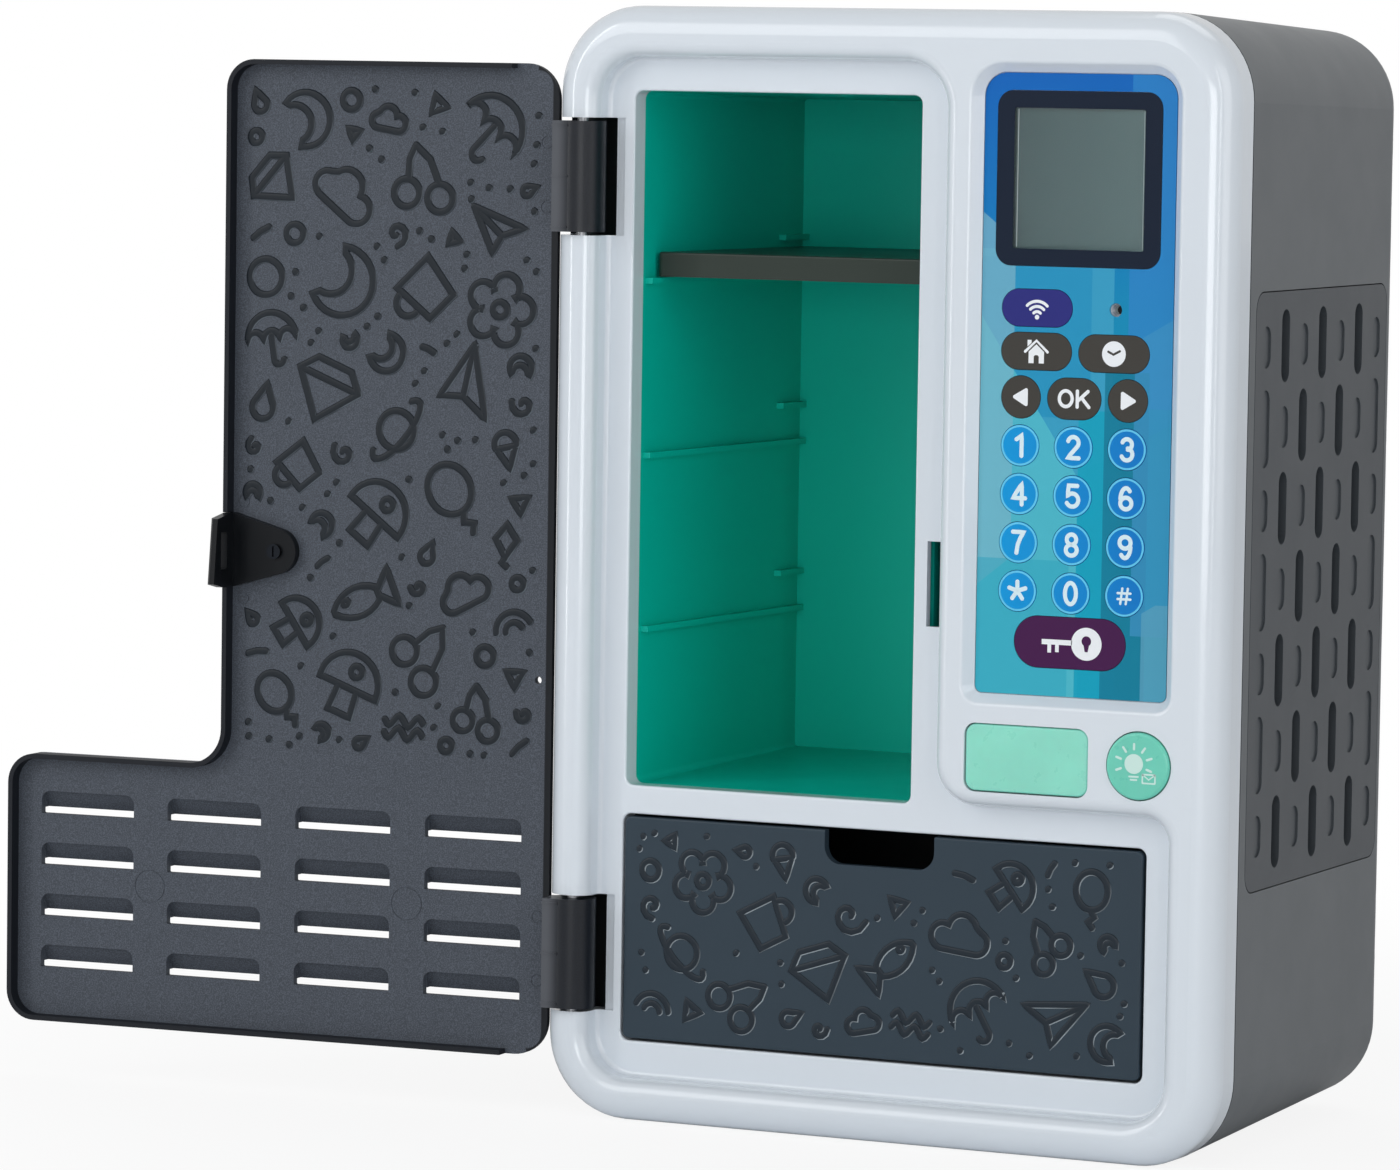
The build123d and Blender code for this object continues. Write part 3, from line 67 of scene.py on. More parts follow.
door_joint = next(j for j in frame["joints"] if j["name"] == "door_hinge")
hinge = Vector(door_joint["pos_m"])
door_swing = Matrix.Rotation(math.radians(door_joint["range_deg"][0]), 4, "Z")


def door_point(along, rise, z):
    """Point on the open door: distance along the leaf, height above its inner face, and z."""
    return Vector((hinge.x, hinge.y, 0)) + door_swing @ Vector((along, rise, 0)) + Vector((0, 0, z))


# ---------------------------------------------------------------------------
# Camera
# ---------------------------------------------------------------------------
image_width = 1400
focal_pixels = 6864.85
sensor_width = 36
clip_distance = 50
camera_place = (0.72787, -1.64609, 0.27706)
camera_yaw = math.radians(26.19)
camera_pitch = math.radians(4.40)
camera_roll = math.radians(0.86)


def make_camera():
    """Camera at the product picture's viewpoint, looking left, a little down and slightly rolled."""
    forward = Vector((-math.sin(camera_yaw) * math.cos(camera_pitch),
                      math.cos(camera_yaw) * math.cos(camera_pitch), -math.sin(camera_pitch)))
    level = Vector((math.cos(camera_yaw), math.sin(camera_yaw), 0))
    upright = level.cross(forward)
    right = math.cos(camera_roll) * level + math.sin(camera_roll) * upright
    up = -math.sin(camera_roll) * level + math.cos(camera_roll) * upright
    data = bpy.data.cameras.new("camera")
    data.sensor_width = sensor_width
    data.lens = focal_pixels / image_width * sensor_width
    data.clip_end = clip_distance
    camera = bpy.data.objects.new("camera", data)
    bpy.context.scene.collection.objects.link(camera)
    axes = Matrix((right, up, -forward)).transposed().to_4x4()
    camera.matrix_world = Matrix.Translation(camera_place) @ axes
    bpy.context.scene.camera = camera


make_camera()
bpy.context.scene.view_settings.view_transform = "Standard"


# ---------------------------------------------------------------------------
# Materials
# ---------------------------------------------------------------------------
NOISE_LOW, NOISE_HIGH = 0.3, 0.7  # Nearly all of a noise lies between these
NOISE_ROUGHNESS = 0.55
MIX_FIRST, MIX_SECOND, MIX_RESULT = 6, 7, 2  # Colour sockets of a mix node
fine_bump = 0.01 * MM


def linear(rgb):
    """Linear colour of an 8-bit sRGB colour."""
    values = [c / 255 for c in rgb]
    return tuple(v / 12.92 if v <= 0.04045 else ((v + 0.055) / 1.055) ** 2.4 for v in values) + (1.0,)


class Tree:
    """Short calls for building one material's nodes."""

    def __init__(self, name):
        self.material = bpy.data.materials.new(name)
        self.material.use_nodes = True
        self.nodes = self.material.node_tree.nodes
        self.links = self.material.node_tree.links
        self.shader = self.nodes["Principled BSDF"]
        self.output = self.nodes["Material Output"]

    def add(self, kind, **values):
        node = self.nodes.new(kind)
        for key, value in values.items():
            setattr(node, key, value)
        return node

    def set(self, socket, value):
        """Links an output socket, or sets a plain value."""
        if isinstance(value, bpy.types.NodeSocket):
            self.links.new(value, socket)
        else:
            socket.default_value = value

    def coords(self, kind="Object"):
        return self.add("ShaderNodeTexCoord").outputs[kind]

    def noise(self, vector, scale, detail=3.0):
        node = self.add("ShaderNodeTexNoise")
        self.set(node.inputs["Vector"], vector)
        node.inputs["Scale"].default_value = scale
        node.inputs["Detail"].default_value = detail
        node.inputs["Roughness"].default_value = NOISE_ROUGHNESS
        return node.outputs["Fac"]

    def math(self, operation, a, b=0.0, c=None):
        node = self.add("ShaderNodeMath", operation=operation)
        self.set(node.inputs[0], a)
        self.set(node.inputs[1], b)
        if c is not None:
            self.set(node.inputs[2], c)
        return node.outputs[0]

    def remap(self, value, low_in, high_in, low_out, high_out, smooth=False):
        node = self.add("ShaderNodeMapRange")
        if smooth:
            node.interpolation_type = "SMOOTHSTEP"
        for socket, item in zip(node.inputs, (value, low_in, high_in, low_out, high_out)):
            self.set(socket, item)
        return node.outputs[0]

    def spread(self, noise, lowest, highest):
        """Value that a noise moves between two limits."""
        return self.remap(noise, NOISE_LOW, NOISE_HIGH, lowest, highest)

    def mix(self, factor, first, second):
        node = self.add("ShaderNodeMix", data_type="RGBA")
        self.set(node.inputs["Factor"], factor)
        self.set(node.inputs[MIX_FIRST], first)
        self.set(node.inputs[MIX_SECOND], second)
        return node.outputs[MIX_RESULT]

    def dot(self, vector, direction):
        node = self.add("ShaderNodeVectorMath", operation="DOT_PRODUCT")
        self.set(node.inputs[0], vector)
        node.inputs[1].default_value = direction
        return node.outputs["Value"]

    def bump(self, height, strength, distance):
        node = self.add("ShaderNodeBump")
        self.set(node.inputs["Height"], height)
        node.inputs["Strength"].default_value = strength
        node.inputs["Distance"].default_value = distance
        self.links.new(node.outputs["Normal"], self.shader.inputs["Normal"])


def shade(rgb, factor):
    """Darker or lighter 8-bit colour."""
    return tuple(min(255, c * factor) for c in rgb)


def drifting(tree, noise, rgb, tint):
    """Colour that a noise makes a little darker and lighter."""
    return tree.mix(noise, linear(shade(rgb, 1 - tint)), linear(shade(rgb, 1 + tint)))


# Moulded plastic: scales of its noises per metre, and how far they reach
colour_scale, gloss_scale = 14, 60
gloss_reach = 0.03
speckle_low, speckle_high, speckle_light = 0.42, 0.62, 1.6
coat_roughness = 0.06
grain_height = 0.02 * MM


def plastic(name, rgb, roughness, grain=0.4, depth=0.2, tint=0.03, coat=0.0, gloss=0.5, speckle=0.0,
            patches=()):
    """Moulded plastic: faint colour drift, uneven gloss and a fine grain, with the grain size in mm.

    Speckle is how strongly the grain shows as light spots. A patch is a function of the tree that gives
    a mask, and the colour under it.
    """
    tree = Tree(name)
    place = tree.coords()
    colour = drifting(tree, tree.noise(place, colour_scale, 2), rgb, tint)
    fine = tree.noise(place, 1 / (grain * MM), 2)
    if speckle:
        spots = tree.remap(fine, speckle_low, speckle_high, 0, speckle, smooth=True)
        colour = tree.mix(spots, colour, linear(shade(rgb, speckle_light)))
    for mask, patch_rgb in patches:
        colour = tree.mix(mask(tree), colour, linear(patch_rgb))
    tree.set(tree.shader.inputs["Base Color"], colour)
    uneven = tree.noise(place, gloss_scale, 4)
    tree.set(tree.shader.inputs["Roughness"],
             tree.spread(uneven, roughness - gloss_reach, roughness + gloss_reach))
    tree.shader.inputs["Specular IOR Level"].default_value = gloss
    tree.shader.inputs["Coat Weight"].default_value = coat
    tree.shader.inputs["Coat Roughness"].default_value = coat_roughness
    tree.bump(fine, depth, grain_height)
    return tree.material


# Masks of painted shade and painted highlight on the leaf, the hinge arms and the bezel behind them, in mm
rim_rise = 0.2
edge_start, edge_corner, edge_band = 6.9, 6.0, 1.7
edge_fade_in, edge_fade_out, edge_least = 0.25, 0.15, 0.01
facet_start, facet_end = 1.0, 5.2
pocket_side, pocket_depth, pocket_gap = 1.0, 1.0, 0.75


def leaf_frame(tree):
    """Distance along the open leaf, height above its inner face, and z, in mm."""
    place = tree.coords()
    result = []
    for axis in (Vector((1, 0, 0)), Vector((0, 1, 0))):
        direction = door_swing.to_3x3() @ axis
        start = direction.dot(Vector((hinge.x, hinge.y, 0)))
        share = tree.math("SUBTRACT", tree.dot(place, direction), start)
        result.append(tree.math("DIVIDE", share, MM))
    result.append(tree.math("DIVIDE", tree.dot(place, (0, 0, 1)), MM))
    return result


def leaf_rim_shade(tree):
    """Mask of the leaf's raised rim and louvre walls, which get a near-black painted shade for the shadow on them.
    """
    rise = leaf_frame(tree)[1]
    return tree.math("GREATER_THAN", rise, rim_rise)


def leaf_hinge_edge_shade(tree):
    """Mask of the band along the leaf's hinge edge, round its corners, which gets a near-black painted shade where
    the rounded edge turns into shadow.
    """
    along, _, z = leaf_frame(tree)
    leaf_low, leaf_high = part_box("door_panel")
    inward = tree.math("MAXIMUM", tree.math("SUBTRACT", edge_start + edge_corner, along), 0.0)
    above = tree.math("SUBTRACT", z, leaf_high.z / MM - edge_corner)
    below = tree.math("SUBTRACT", leaf_low.z / MM + edge_corner, z)
    outward = tree.math("MAXIMUM", tree.math("MAXIMUM", above, below), 0.0)
    squares = [tree.math("MULTIPLY", length, length) for length in (inward, outward)]
    distance = tree.math("SQRT", tree.math("ADD", *squares))
    inner = edge_corner - edge_band
    edge = tree.remap(distance, inner - edge_fade_in, inner + edge_fade_out, 0, 1, smooth=True)
    return tree.math("MULTIPLY", edge, tree.math("GREATER_THAN", inward, edge_least))


def arm_facet_highlight(tree):
    """Mask of the hinge arm's flat side, fading into the barrel, which gets a lighter grey painted highlight for
    the light the facet catches.
    """
    along = leaf_frame(tree)[0]
    return tree.remap(along, facet_start, facet_end, 0, 1, smooth=True)


def hinge_pocket_shade(tree):
    """Mask of the bezel's walls behind the two hinge barrels, where a near-black painted shade stands for the deep
    shadow in the notches.
    """
    place = tree.coords()
    side = high("lower_hinge_arm").x + pocket_side * MM
    right = tree.math("LESS_THAN", tree.dot(place, (1, 0, 0)), side)
    covers = []
    for arm in ("lower_hinge_arm", "upper_hinge_arm"):
        arm_low, arm_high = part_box(arm)
        middle = (arm_low.z + arm_high.z) / 2
        reach = (arm_high.z - arm_low.z) / 2 + pocket_gap * MM
        offset = tree.math("ABSOLUTE", tree.math("SUBTRACT", tree.dot(place, (0, 0, 1)), middle))
        covers.append(tree.math("LESS_THAN", offset, reach))
    deep = tree.math("GREATER_THAN", tree.dot(place, (0, 1, 0)), hinge.y + pocket_depth * MM)
    return tree.math("MULTIPLY", tree.math("MULTIPLY", right, deep), tree.math("MAXIMUM", *covers))


# Painted highlight on raised strokes: the direction it faces, and the facing over which it fades in
highlight_side = (0.64, 0, -0.77)
highlight_from, highlight_to = 0.22, 0.5


def raised_plastic(name, rgb, highlight_rgb, roughness):
    """Smooth raised strokes whose lower right edges get a painted highlight, a lighter colour where they face down
    and to the right.
    """
    tree = Tree(name)
    place = tree.coords()
    facing = tree.dot(tree.coords("Normal"), highlight_side)
    edge = tree.remap(facing, highlight_from, highlight_to, 0, 1, smooth=True)
    patchy_highlight = tree.math("MULTIPLY", edge, tree.remap(tree.noise(place, 70, 2), 0.4, 0.6, 0.35, 1.0))
    base = drifting(tree, tree.noise(place, 50), rgb, 0.05)
    tree.set(tree.shader.inputs["Base Color"], tree.mix(patchy_highlight, base, linear(highlight_rgb)))
    tree.shader.inputs["Roughness"].default_value = roughness
    tree.shader.inputs["Specular IOR Level"].default_value = 0.25
    tree.bump(tree.noise(place, 1500), 0.05, fine_bump)
    return tree.material


steel_gloss_reach = 0.06


def metal(name, rgb, roughness):
    """Plain steel, a little uneven in its colour and gloss."""
    tree = Tree(name)
    place = tree.coords()
    tree.shader.inputs["Metallic"].default_value = 1.0
    tree.set(tree.shader.inputs["Base Color"],
             tree.mix(tree.noise(place, 300), linear(shade(rgb, 0.93)), linear(shade(rgb, 1.05))))
    uneven = tree.noise(place, 900)
    tree.set(tree.shader.inputs["Roughness"],
             tree.spread(uneven, roughness - steel_gloss_reach, roughness + steel_gloss_reach))
    tree.bump(tree.noise(place, 1500), 0.1, fine_bump)
    return tree.material


KEY_BLUE_LEFT, KEY_BLUE_RIGHT = (0, 152, 220), (0, 118, 198)


def key_blue():
    """Digit keys: blue that deepens to the right."""
    tree = Tree("key_blue")
    place = tree.coords()
    across = tree.dot(place, (1, 0, 0))
    share = tree.remap(across, low("key_1").x, high("key_3").x, 0, 1)
    drift = tree.math("MULTIPLY_ADD", tree.noise(place, 80), 0.12, tree.math("SUBTRACT", share, 0.06))
    colour = tree.mix(drift, linear(KEY_BLUE_LEFT), linear(KEY_BLUE_RIGHT))
    tree.set(tree.shader.inputs["Base Color"], colour)
    tree.shader.inputs["Roughness"].default_value = 0.42
    tree.shader.inputs["Specular IOR Level"].default_value = 0.2
    tree.bump(tree.noise(place, 3000), 0.15, fine_bump)
    return tree.material


# Facets of the keypad's printed ground, painted in turn. Each half plane is its direction in degrees and
# its distance in mm from the pad's centre; the last items are a colour and how strongly it covers.
PAD_FACETS = (
    (((180, -10), (270, -34)), (58, 160, 198), 0.85),
    (((0, 14), (90, -5)), (42, 132, 200), 0.75),
    (((180, -4), (90, -8), (270, -32)), (0, 138, 188), 0.55),
    (((-62, 20), (180, -40)), (0, 150, 172), 0.75),
    (((214, 12), (180, -2)), (78, 186, 204), 0.90),
    (((180, 17), (128, -24), (232, -18)), (122, 182, 202), 0.65),
    (((0, 1), (180, -12), (270, 6)), (0, 160, 190), 0.95),
    (((0, 8), (180, -20), (270, -4)), (0, 122, 152), 0.90),
    (((0, 16), (300, -2), (90, -62)), (58, 146, 196), 0.70),
    (((0, 19), (270, 54), (301, 58)), (86, 160, 190), 0.80),
    (((180, 1), (270, 44)), (38, 166, 192), 0.60),
)


# Colours of the printed ground up the keypad: share of its height, and the colour there
PAD_SHADES = ((0.0, (0, 158, 190)), (0.35, (0, 148, 178)), (0.62, (0, 138, 184)), (0.80, (0, 116, 188)),
              (1.0, (0, 98, 184)))


def overlay_print():
    """Printed blue ground that shades from deep blue at the top to turquoise, with flat facets."""
    tree = Tree("overlay_blue")
    place = tree.coords()
    bottom, top = low("keypad_overlay").z, high("keypad_overlay").z
    middle = centre("keypad_overlay")
    rise = tree.remap(tree.dot(place, (0, 0, 1)), bottom, top, 0, 1)
    ramp = tree.add("ShaderNodeValToRGB")
    tree.set(ramp.inputs[0], rise)
    elements = ramp.color_ramp.elements
    while len(elements) < len(PAD_SHADES):
        elements.new(0.5)
    for element, (position, rgb) in zip(elements, PAD_SHADES):
        element.position = position
        element.color = linear(rgb)
    colour = ramp.outputs[0]
    for half_planes, rgb, strength in PAD_FACETS:
        cover = strength
        for angle, distance in half_planes:
            direction = Vector((math.cos(math.radians(angle)), 0, math.sin(math.radians(angle))))
            limit = direction.dot(middle) + distance * MM
            beyond = tree.math("GREATER_THAN", tree.dot(place, direction), limit)
            cover = tree.math("MULTIPLY", beyond, cover)
        colour = tree.mix(cover, colour, linear(rgb))
    tree.set(tree.shader.inputs["Base Color"], colour)
    tree.set(tree.shader.inputs["Roughness"], tree.spread(tree.noise(place, 90), 0.34, 0.42))
    tree.shader.inputs["Specular IOR Level"].default_value = 0.2
    tree.bump(tree.noise(place, 2500), 0.08, fine_bump)
    return tree.material


def clear_lens():
    """Clear window with faint unevenness."""
    tree = Tree("lens_clear")
    place = tree.coords()
    tree.shader.inputs["Transmission Weight"].default_value = 1.0
    tree.shader.inputs["IOR"].default_value = 1.45
    tree.shader.inputs["Base Color"].default_value = (0.93, 0.96, 0.96, 1)
    tree.set(tree.shader.inputs["Roughness"], tree.spread(tree.noise(place, 200), 0.0, 0.03))
    return tree.material


SCREEN_LEFT, SCREEN_RIGHT = (46, 80, 82), (92, 120, 122)


def screen_face():
    """Unlit grey-green display, lighter to the right."""
    tree = Tree("screen_green")
    place = tree.coords()
    left, right = low("screen_module").x, high("screen_module").x
    share = tree.remap(tree.dot(place, (1, 0, 0)), left, right, 0, 1)
    cloud = tree.math("MULTIPLY_ADD", tree.noise(place, 45, 2), 0.35, tree.math("SUBTRACT", share, 0.15))
    tree.set(tree.shader.inputs["Base Color"], tree.mix(cloud, linear(SCREEN_LEFT), linear(SCREEN_RIGHT)))
    tree.bump(tree.noise(place, 2500), 0.02, fine_bump)
    tree.set(tree.shader.inputs["Roughness"], tree.remap(cloud, 0, 1, 0.4, 0.5))
    tree.shader.inputs["Specular IOR Level"].default_value = 0.25
    return tree.material


def mint(name, rgb, glow):
    """Milky translucent mint plastic."""
    tree = Tree(name)
    place = tree.coords()
    tree.set(tree.shader.inputs["Base Color"], drifting(tree, tree.noise(place, 90, 3), rgb, 0.05))
    tree.shader.inputs["Subsurface Weight"].default_value = glow
    tree.shader.inputs["Subsurface Radius"].default_value = (0.4, 1.0, 0.8)
    tree.shader.inputs["Subsurface Scale"].default_value = 1.5 * MM
    tree.set(tree.shader.inputs["Roughness"], tree.spread(tree.noise(place, 300), 0.26, 0.36))
    tree.bump(tree.noise(place, 1200), 0.08, fine_bump)
    return tree.material


MATERIALS = {
    # Bezel: its one patch is near-black painted shade in the hinge pockets
    "bezel_white": plastic("bezel_white", (220, 228, 236), 0.20, grain=0.25, depth=0.02, tint=0.003,
                           coat=0.6, patches=((hinge_pocket_shade, (14, 16, 18)),)),
    "case_grey": plastic("case_grey", (90, 95, 99), 0.40, grain=0.35, depth=0.25),
    "vent_grey": plastic("vent_grey", (66, 71, 76), 0.40, grain=0.35, depth=0.25, gloss=0.4),
    "liner_teal": plastic("liner_teal", (0, 192, 172), 0.34, grain=0.8, depth=0.06, tint=0.02, gloss=0.3),
    "lamp_clear": clear_lens(),
    "shelf_grey": plastic("shelf_grey", (42, 52, 46), 0.34, grain=0.6, depth=0.15, gloss=0.3),
    "drawer_slate": plastic("drawer_slate", (48, 62, 73), 0.36, grain=0.35, gloss=0.25),
    "tray_grey": plastic("tray_grey", (44, 48, 52), 0.45, grain=0.5, gloss=0.3),
    # Door leaf: the first patch is near-black painted shade on the raised rim and louvre walls
    "door_slate": plastic("door_slate", (64, 69, 77), 0.55, grain=0.3, depth=0.5, tint=0.02, gloss=0.25,
                          speckle=0.45,
                          # The second patch is near-black painted shade along the leaf's hinge edge
                          patches=((leaf_rim_shade, (20, 24, 31)), (leaf_hinge_edge_shade, (14, 18, 24)))),
    # Hinge arms: the patch is a lighter grey painted highlight on their flat side
    "hinge_black": plastic("hinge_black", (20, 24, 31), 0.34, grain=0.5, depth=0.15, gloss=0.3,
                           speckle=0.2, patches=((arm_facet_highlight, (84, 87, 93)),)),
    "hook_black": plastic("hook_black", (12, 15, 19), 0.32, grain=0.5, depth=0.15, gloss=0.2),
    "screw_black": metal("screw_black", (36, 39, 44), 0.4),
    "steel": metal("steel", (150, 152, 156), 0.32),
    "inner_black": plastic("inner_black", (22, 22, 24), 0.6, grain=0.5, gloss=0.3),
    "overlay_blue": overlay_print(),
    "lens_navy": clear_lens(),
    "screen_green": screen_face(),
    "key_grey": plastic("key_grey", (62, 60, 56), 0.50, grain=0.3, depth=0.25, gloss=0.2),
    "key_navy": plastic("key_navy", (40, 42, 122), 0.45, grain=0.3, gloss=0.2),
    "key_purple": plastic("key_purple", (66, 16, 72), 0.45, grain=0.3, gloss=0.2),
    "key_blue": key_blue(),
    "mat_rubber": plastic("mat_rubber", (120, 120, 120), 0.7, depth=0.3),
    "board_green": plastic("board_green", (16, 84, 48), 0.4, grain=0.8, depth=0.1),
    "window_mint": mint("window_mint", (146, 226, 206), 0.5),
    "button_mint": mint("button_mint", (112, 210, 188), 0.35),
    "cell_grey": plastic("cell_grey", (84, 86, 92), 0.3, grain=1.0, depth=0.05),
    # The second colour of each relief is the painted highlight on its strokes' lower right edges
    "relief_dark": raised_plastic("relief_dark", (23, 30, 37), (96, 104, 112), 0.42),
    "relief_drawer": raised_plastic("relief_drawer", (29, 39, 48), (168, 178, 184), 0.34),
    "print_white": plastic("print_white", (238, 242, 246), 0.5, grain=0.3, depth=0.1, tint=0.01),
    "print_cyan": plastic("print_cyan", (96, 200, 238), 0.5, grain=0.3, depth=0.1, tint=0.02, gloss=0.3),
    "print_navy": plastic("print_navy", (16, 29, 48), 0.40, grain=1.0, depth=0.02, gloss=0.15),
    "print_digit": plastic("print_digit", (216, 238, 246), 0.5, grain=0.3, depth=0.1, tint=0.01),
    "print_glass": plastic("print_glass", (206, 218, 220), 0.2, grain=0.5, depth=0.05, tint=0.02),
    "print_grey": plastic("print_grey", (62, 60, 56), 0.5, grain=0.3, gloss=0.2),
    "print_purple": plastic("print_purple", (66, 16, 72), 0.45, grain=0.3, gloss=0.2),
    "print_pale": plastic("print_pale", (206, 236, 228), 0.45, grain=0.3, depth=0.1, tint=0.01),
    "print_black": plastic("print_black", (10, 12, 14), 0.5, grain=0.3, depth=0.1, gloss=0.2),
    "print_shade": plastic("print_shade", (128, 136, 134), 0.4, grain=0.3, depth=0.1),
}

for part in frame["record"]["subparts"]:
    mesh = nodes[part["node"]].data
    mesh.materials.clear()
    mesh.materials.append(MATERIALS[part["material_slot"]])


# ---------------------------------------------------------------------------
# Flat printed shapes that face the viewer
# ---------------------------------------------------------------------------
PRINT = 0.03 * MM


def finish_piece(piece, material, body, smooth=False):
    """Gives a piece its material, and attaches it to its body."""
    piece.data.materials.clear()
    piece.data.materials.append(MATERIALS[material])
    if smooth:
        for polygon in piece.data.polygons:
            polygon.use_smooth = True
    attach(piece, body)


def printed(name, loops, place, material, body, thickness=PRINT):
    """Filled shape of closed loops in mm, laid on a surface that faces the viewer at place."""
    data = flat_curve(name, loops)
    data.extrude = thickness / 2
    source = bpy.data.objects.new(name + "_source", data)
    bpy.context.scene.collection.objects.link(source)
    bpy.context.view_layer.update()
    mesh = bpy.data.meshes.new_from_object(source)
    bpy.data.objects.remove(source)
    upright = Matrix.Rotation(math.radians(90), 4, "X")
    mesh.transform(Matrix.Translation(Vector(place) - Vector((0, thickness / 2, 0))) @ upright)
    piece = bpy.data.objects.new(name, mesh)
    bpy.context.scene.collection.objects.link(piece)
    finish_piece(piece, material, body)


def flat_curve(name, loops):
    """Filled curve of closed loops in mm; a loop inside another is a hole."""
    data = bpy.data.curves.new(name, "CURVE")
    data.dimensions = "2D"
    data.fill_mode = "BOTH"
    for loop in loops:
        spline = data.splines.new("POLY")
        spline.points.add(len(loop) - 1)
        for point, (x, y) in zip(spline.points, loop):
            point.co = (x * MM, y * MM, 0, 1)
        spline.use_cyclic_u = True
    return data


def circle(x, y, radius, count=40, start=0.0, turn=360.0):
    """Points round a circle, or round part of it."""
    steps = count if turn == 360.0 else count - 1
    angles = [math.radians(start + turn * i / steps) for i in range(count)]
    return [(x + radius * math.cos(a), y + radius * math.sin(a)) for a in angles]


def round_rect(left, right, bottom, top, radius, count=8):
    """Rectangle with round corners, from the top right one round to the left."""
    middles = ((right - radius, top - radius), (left + radius, top - radius),
               (left + radius, bottom + radius), (right - radius, bottom + radius))
    points = []
    for i, (x, y) in enumerate(middles):
        points += circle(x, y, radius, count, 90 * i, 90.0)
    return points


def rounded_polygon(corners, radius, count=6):
    """Polygon with its corners rounded."""
    points = []
    for i, corner in enumerate(corners):
        here = Vector(corner)
        back = (Vector(corners[i - 1]) - here).normalized()
        ahead = (Vector(corners[(i + 1) % len(corners)]) - here).normalized()
        half = back.angle(ahead) / 2
        reach = radius / math.tan(half)
        middle = here + (back + ahead).normalized() * (radius / math.sin(half))
        first, last = here + back * reach - middle, here + ahead * reach - middle
        for step in range(count):
            direction = first.lerp(last, step / (count - 1)).normalized() * radius
            points.append(tuple(middle + direction))
    return points


def band(points, width):
    """Outline of an open line drawn with a round pen."""
    path = [Vector(p) for p in points]
    left, right = [], []
    for i, here in enumerate(path):
        ahead = path[min(i + 1, len(path) - 1)] - path[max(i - 1, 0)]
        side = Vector((-ahead.y, ahead.x)).normalized() * width / 2
        left.append(here + side)
        right.append(here - side)
    end = math.degrees(math.atan2(*(path[-1] - path[-2]).yx))
    start = math.degrees(math.atan2(*(path[0] - path[1]).yx))
    far_cap = circle(*path[-1], width / 2, 8, end + 90, -180.0)
    near_cap = circle(*path[0], width / 2, 8, start + 90, -180.0)
    there, back = [tuple(p) for p in left], [tuple(p) for p in reversed(right)]
    return there + far_cap[1:-1] + back + near_cap[1:-1]


def arc(x, y, radius, start, turn, squash=1.0):
    """Open run of points round part of a circle, in motif units."""
    count = max(4, int(abs(turn) / 12) + 1)
    return [(px, y + (py - y) * squash) for px, py in circle(x, y, radius, count, start, turn)]


def loop(x, y, radius, squash=1.0, count=28):
    """Closed run of points round a circle, in motif units."""
    return [(px, y + (py - y) * squash) for px, py in circle(x, y, radius, count)]


shortest_gap = 1e-6


def resample(points, closed, spacing):
    """Points about evenly spaced along a line, with its corners kept."""
    path = [Vector(p) for p in points]
    if closed:
        path.append(path[0])
    result = []
    for first, last in zip(path, path[1:]):
        gap = (last - first).length
        if gap < shortest_gap:
            continue
        steps = max(1, round(gap / spacing))
        result += [first.lerp(last, i / steps) for i in range(steps)]
    if not closed:
        result.append(path[-1])
    return result


# Cross section of a raised stroke: share of the half width, and share of the rise
STROKE_PROFILE = ((-1.0, 0.0), (-0.86, 0.6), (-0.66, 0.88), (-0.35, 0.97), (0.0, 1.0),
                  (0.35, 0.97), (0.66, 0.88), (0.86, 0.6), (1.0, 0.0))
STROKE_CAPS = (0.0, 0.35, 0.65, 0.87)  # Points of a round cap: share of the half width in from its tip
stroke_spacing = 0.9
least_cap, cap_rise = 0.12, 1.3
widest_mitre, least_cosine = 1.5, 0.3
no_length, no_turn = 1e-9, 1e-6


def add_stroke(mesh, points, closed, width, rise, sink, lay):
    """Closed raised band along a line, laid on a surface by lay(x, y, height)."""
    half = width / 2
    path = resample(points, closed, stroke_spacing)
    if not closed:
        first = (path[0] - path[1]).normalized()
        last = (path[-1] - path[-2]).normalized()
        start = [path[0] + first * half * (1 - c) for c in STROKE_CAPS]
        end = [path[-1] + last * half * (1 - c) for c in reversed(STROKE_CAPS)]
        sizes = [max(least_cap, math.sqrt(1 - (1 - c) ** 2)) for c in STROKE_CAPS]
        widths = sizes + [1.0] * len(path) + sizes[::-1]
        path = start + path + end
    else:
        widths = [1.0] * len(path)
    rings = []
    count = len(path)
    for i, here in enumerate(path):
        back = path[i - 1] if closed or i else here
        ahead = path[(i + 1) % count] if closed or i < count - 1 else here
        incoming, outgoing = here - back, ahead - here
        incoming = incoming.normalized() if incoming.length > no_length else outgoing.normalized()
        outgoing = outgoing.normalized() if outgoing.length > no_length else incoming
        along = incoming + outgoing
        along = along.normalized() if along.length > no_turn else outgoing
        stretch = min(widest_mitre, 1 / max(least_cosine, along.dot(outgoing)))
        side = Vector((-along.y, along.x)) * half * widths[i] * stretch
        ring = []
        height = min(1, widths[i] * cap_rise)
        for across, up in STROKE_PROFILE:
            spot = here + side * across
            ring.append(mesh.verts.new(lay(spot.x, spot.y, up * rise * height)))
        for across in (1.0, -1.0):
            spot = here + side * across
            ring.append(mesh.verts.new(lay(spot.x, spot.y, -sink)))
        rings.append(ring)
    pairs = list(zip(rings, rings[1:])) + ([(rings[-1], rings[0])] if closed else [])
    size = len(rings[0])
    for first, second in pairs:
        for i in range(size):
            mesh.faces.new((first[i], first[(i + 1) % size], second[(i + 1) % size], second[i]))
    if not closed:
        mesh.faces.new(rings[0])
        mesh.faces.new(list(reversed(rings[-1])))


pen_rise = 0.03  # mm


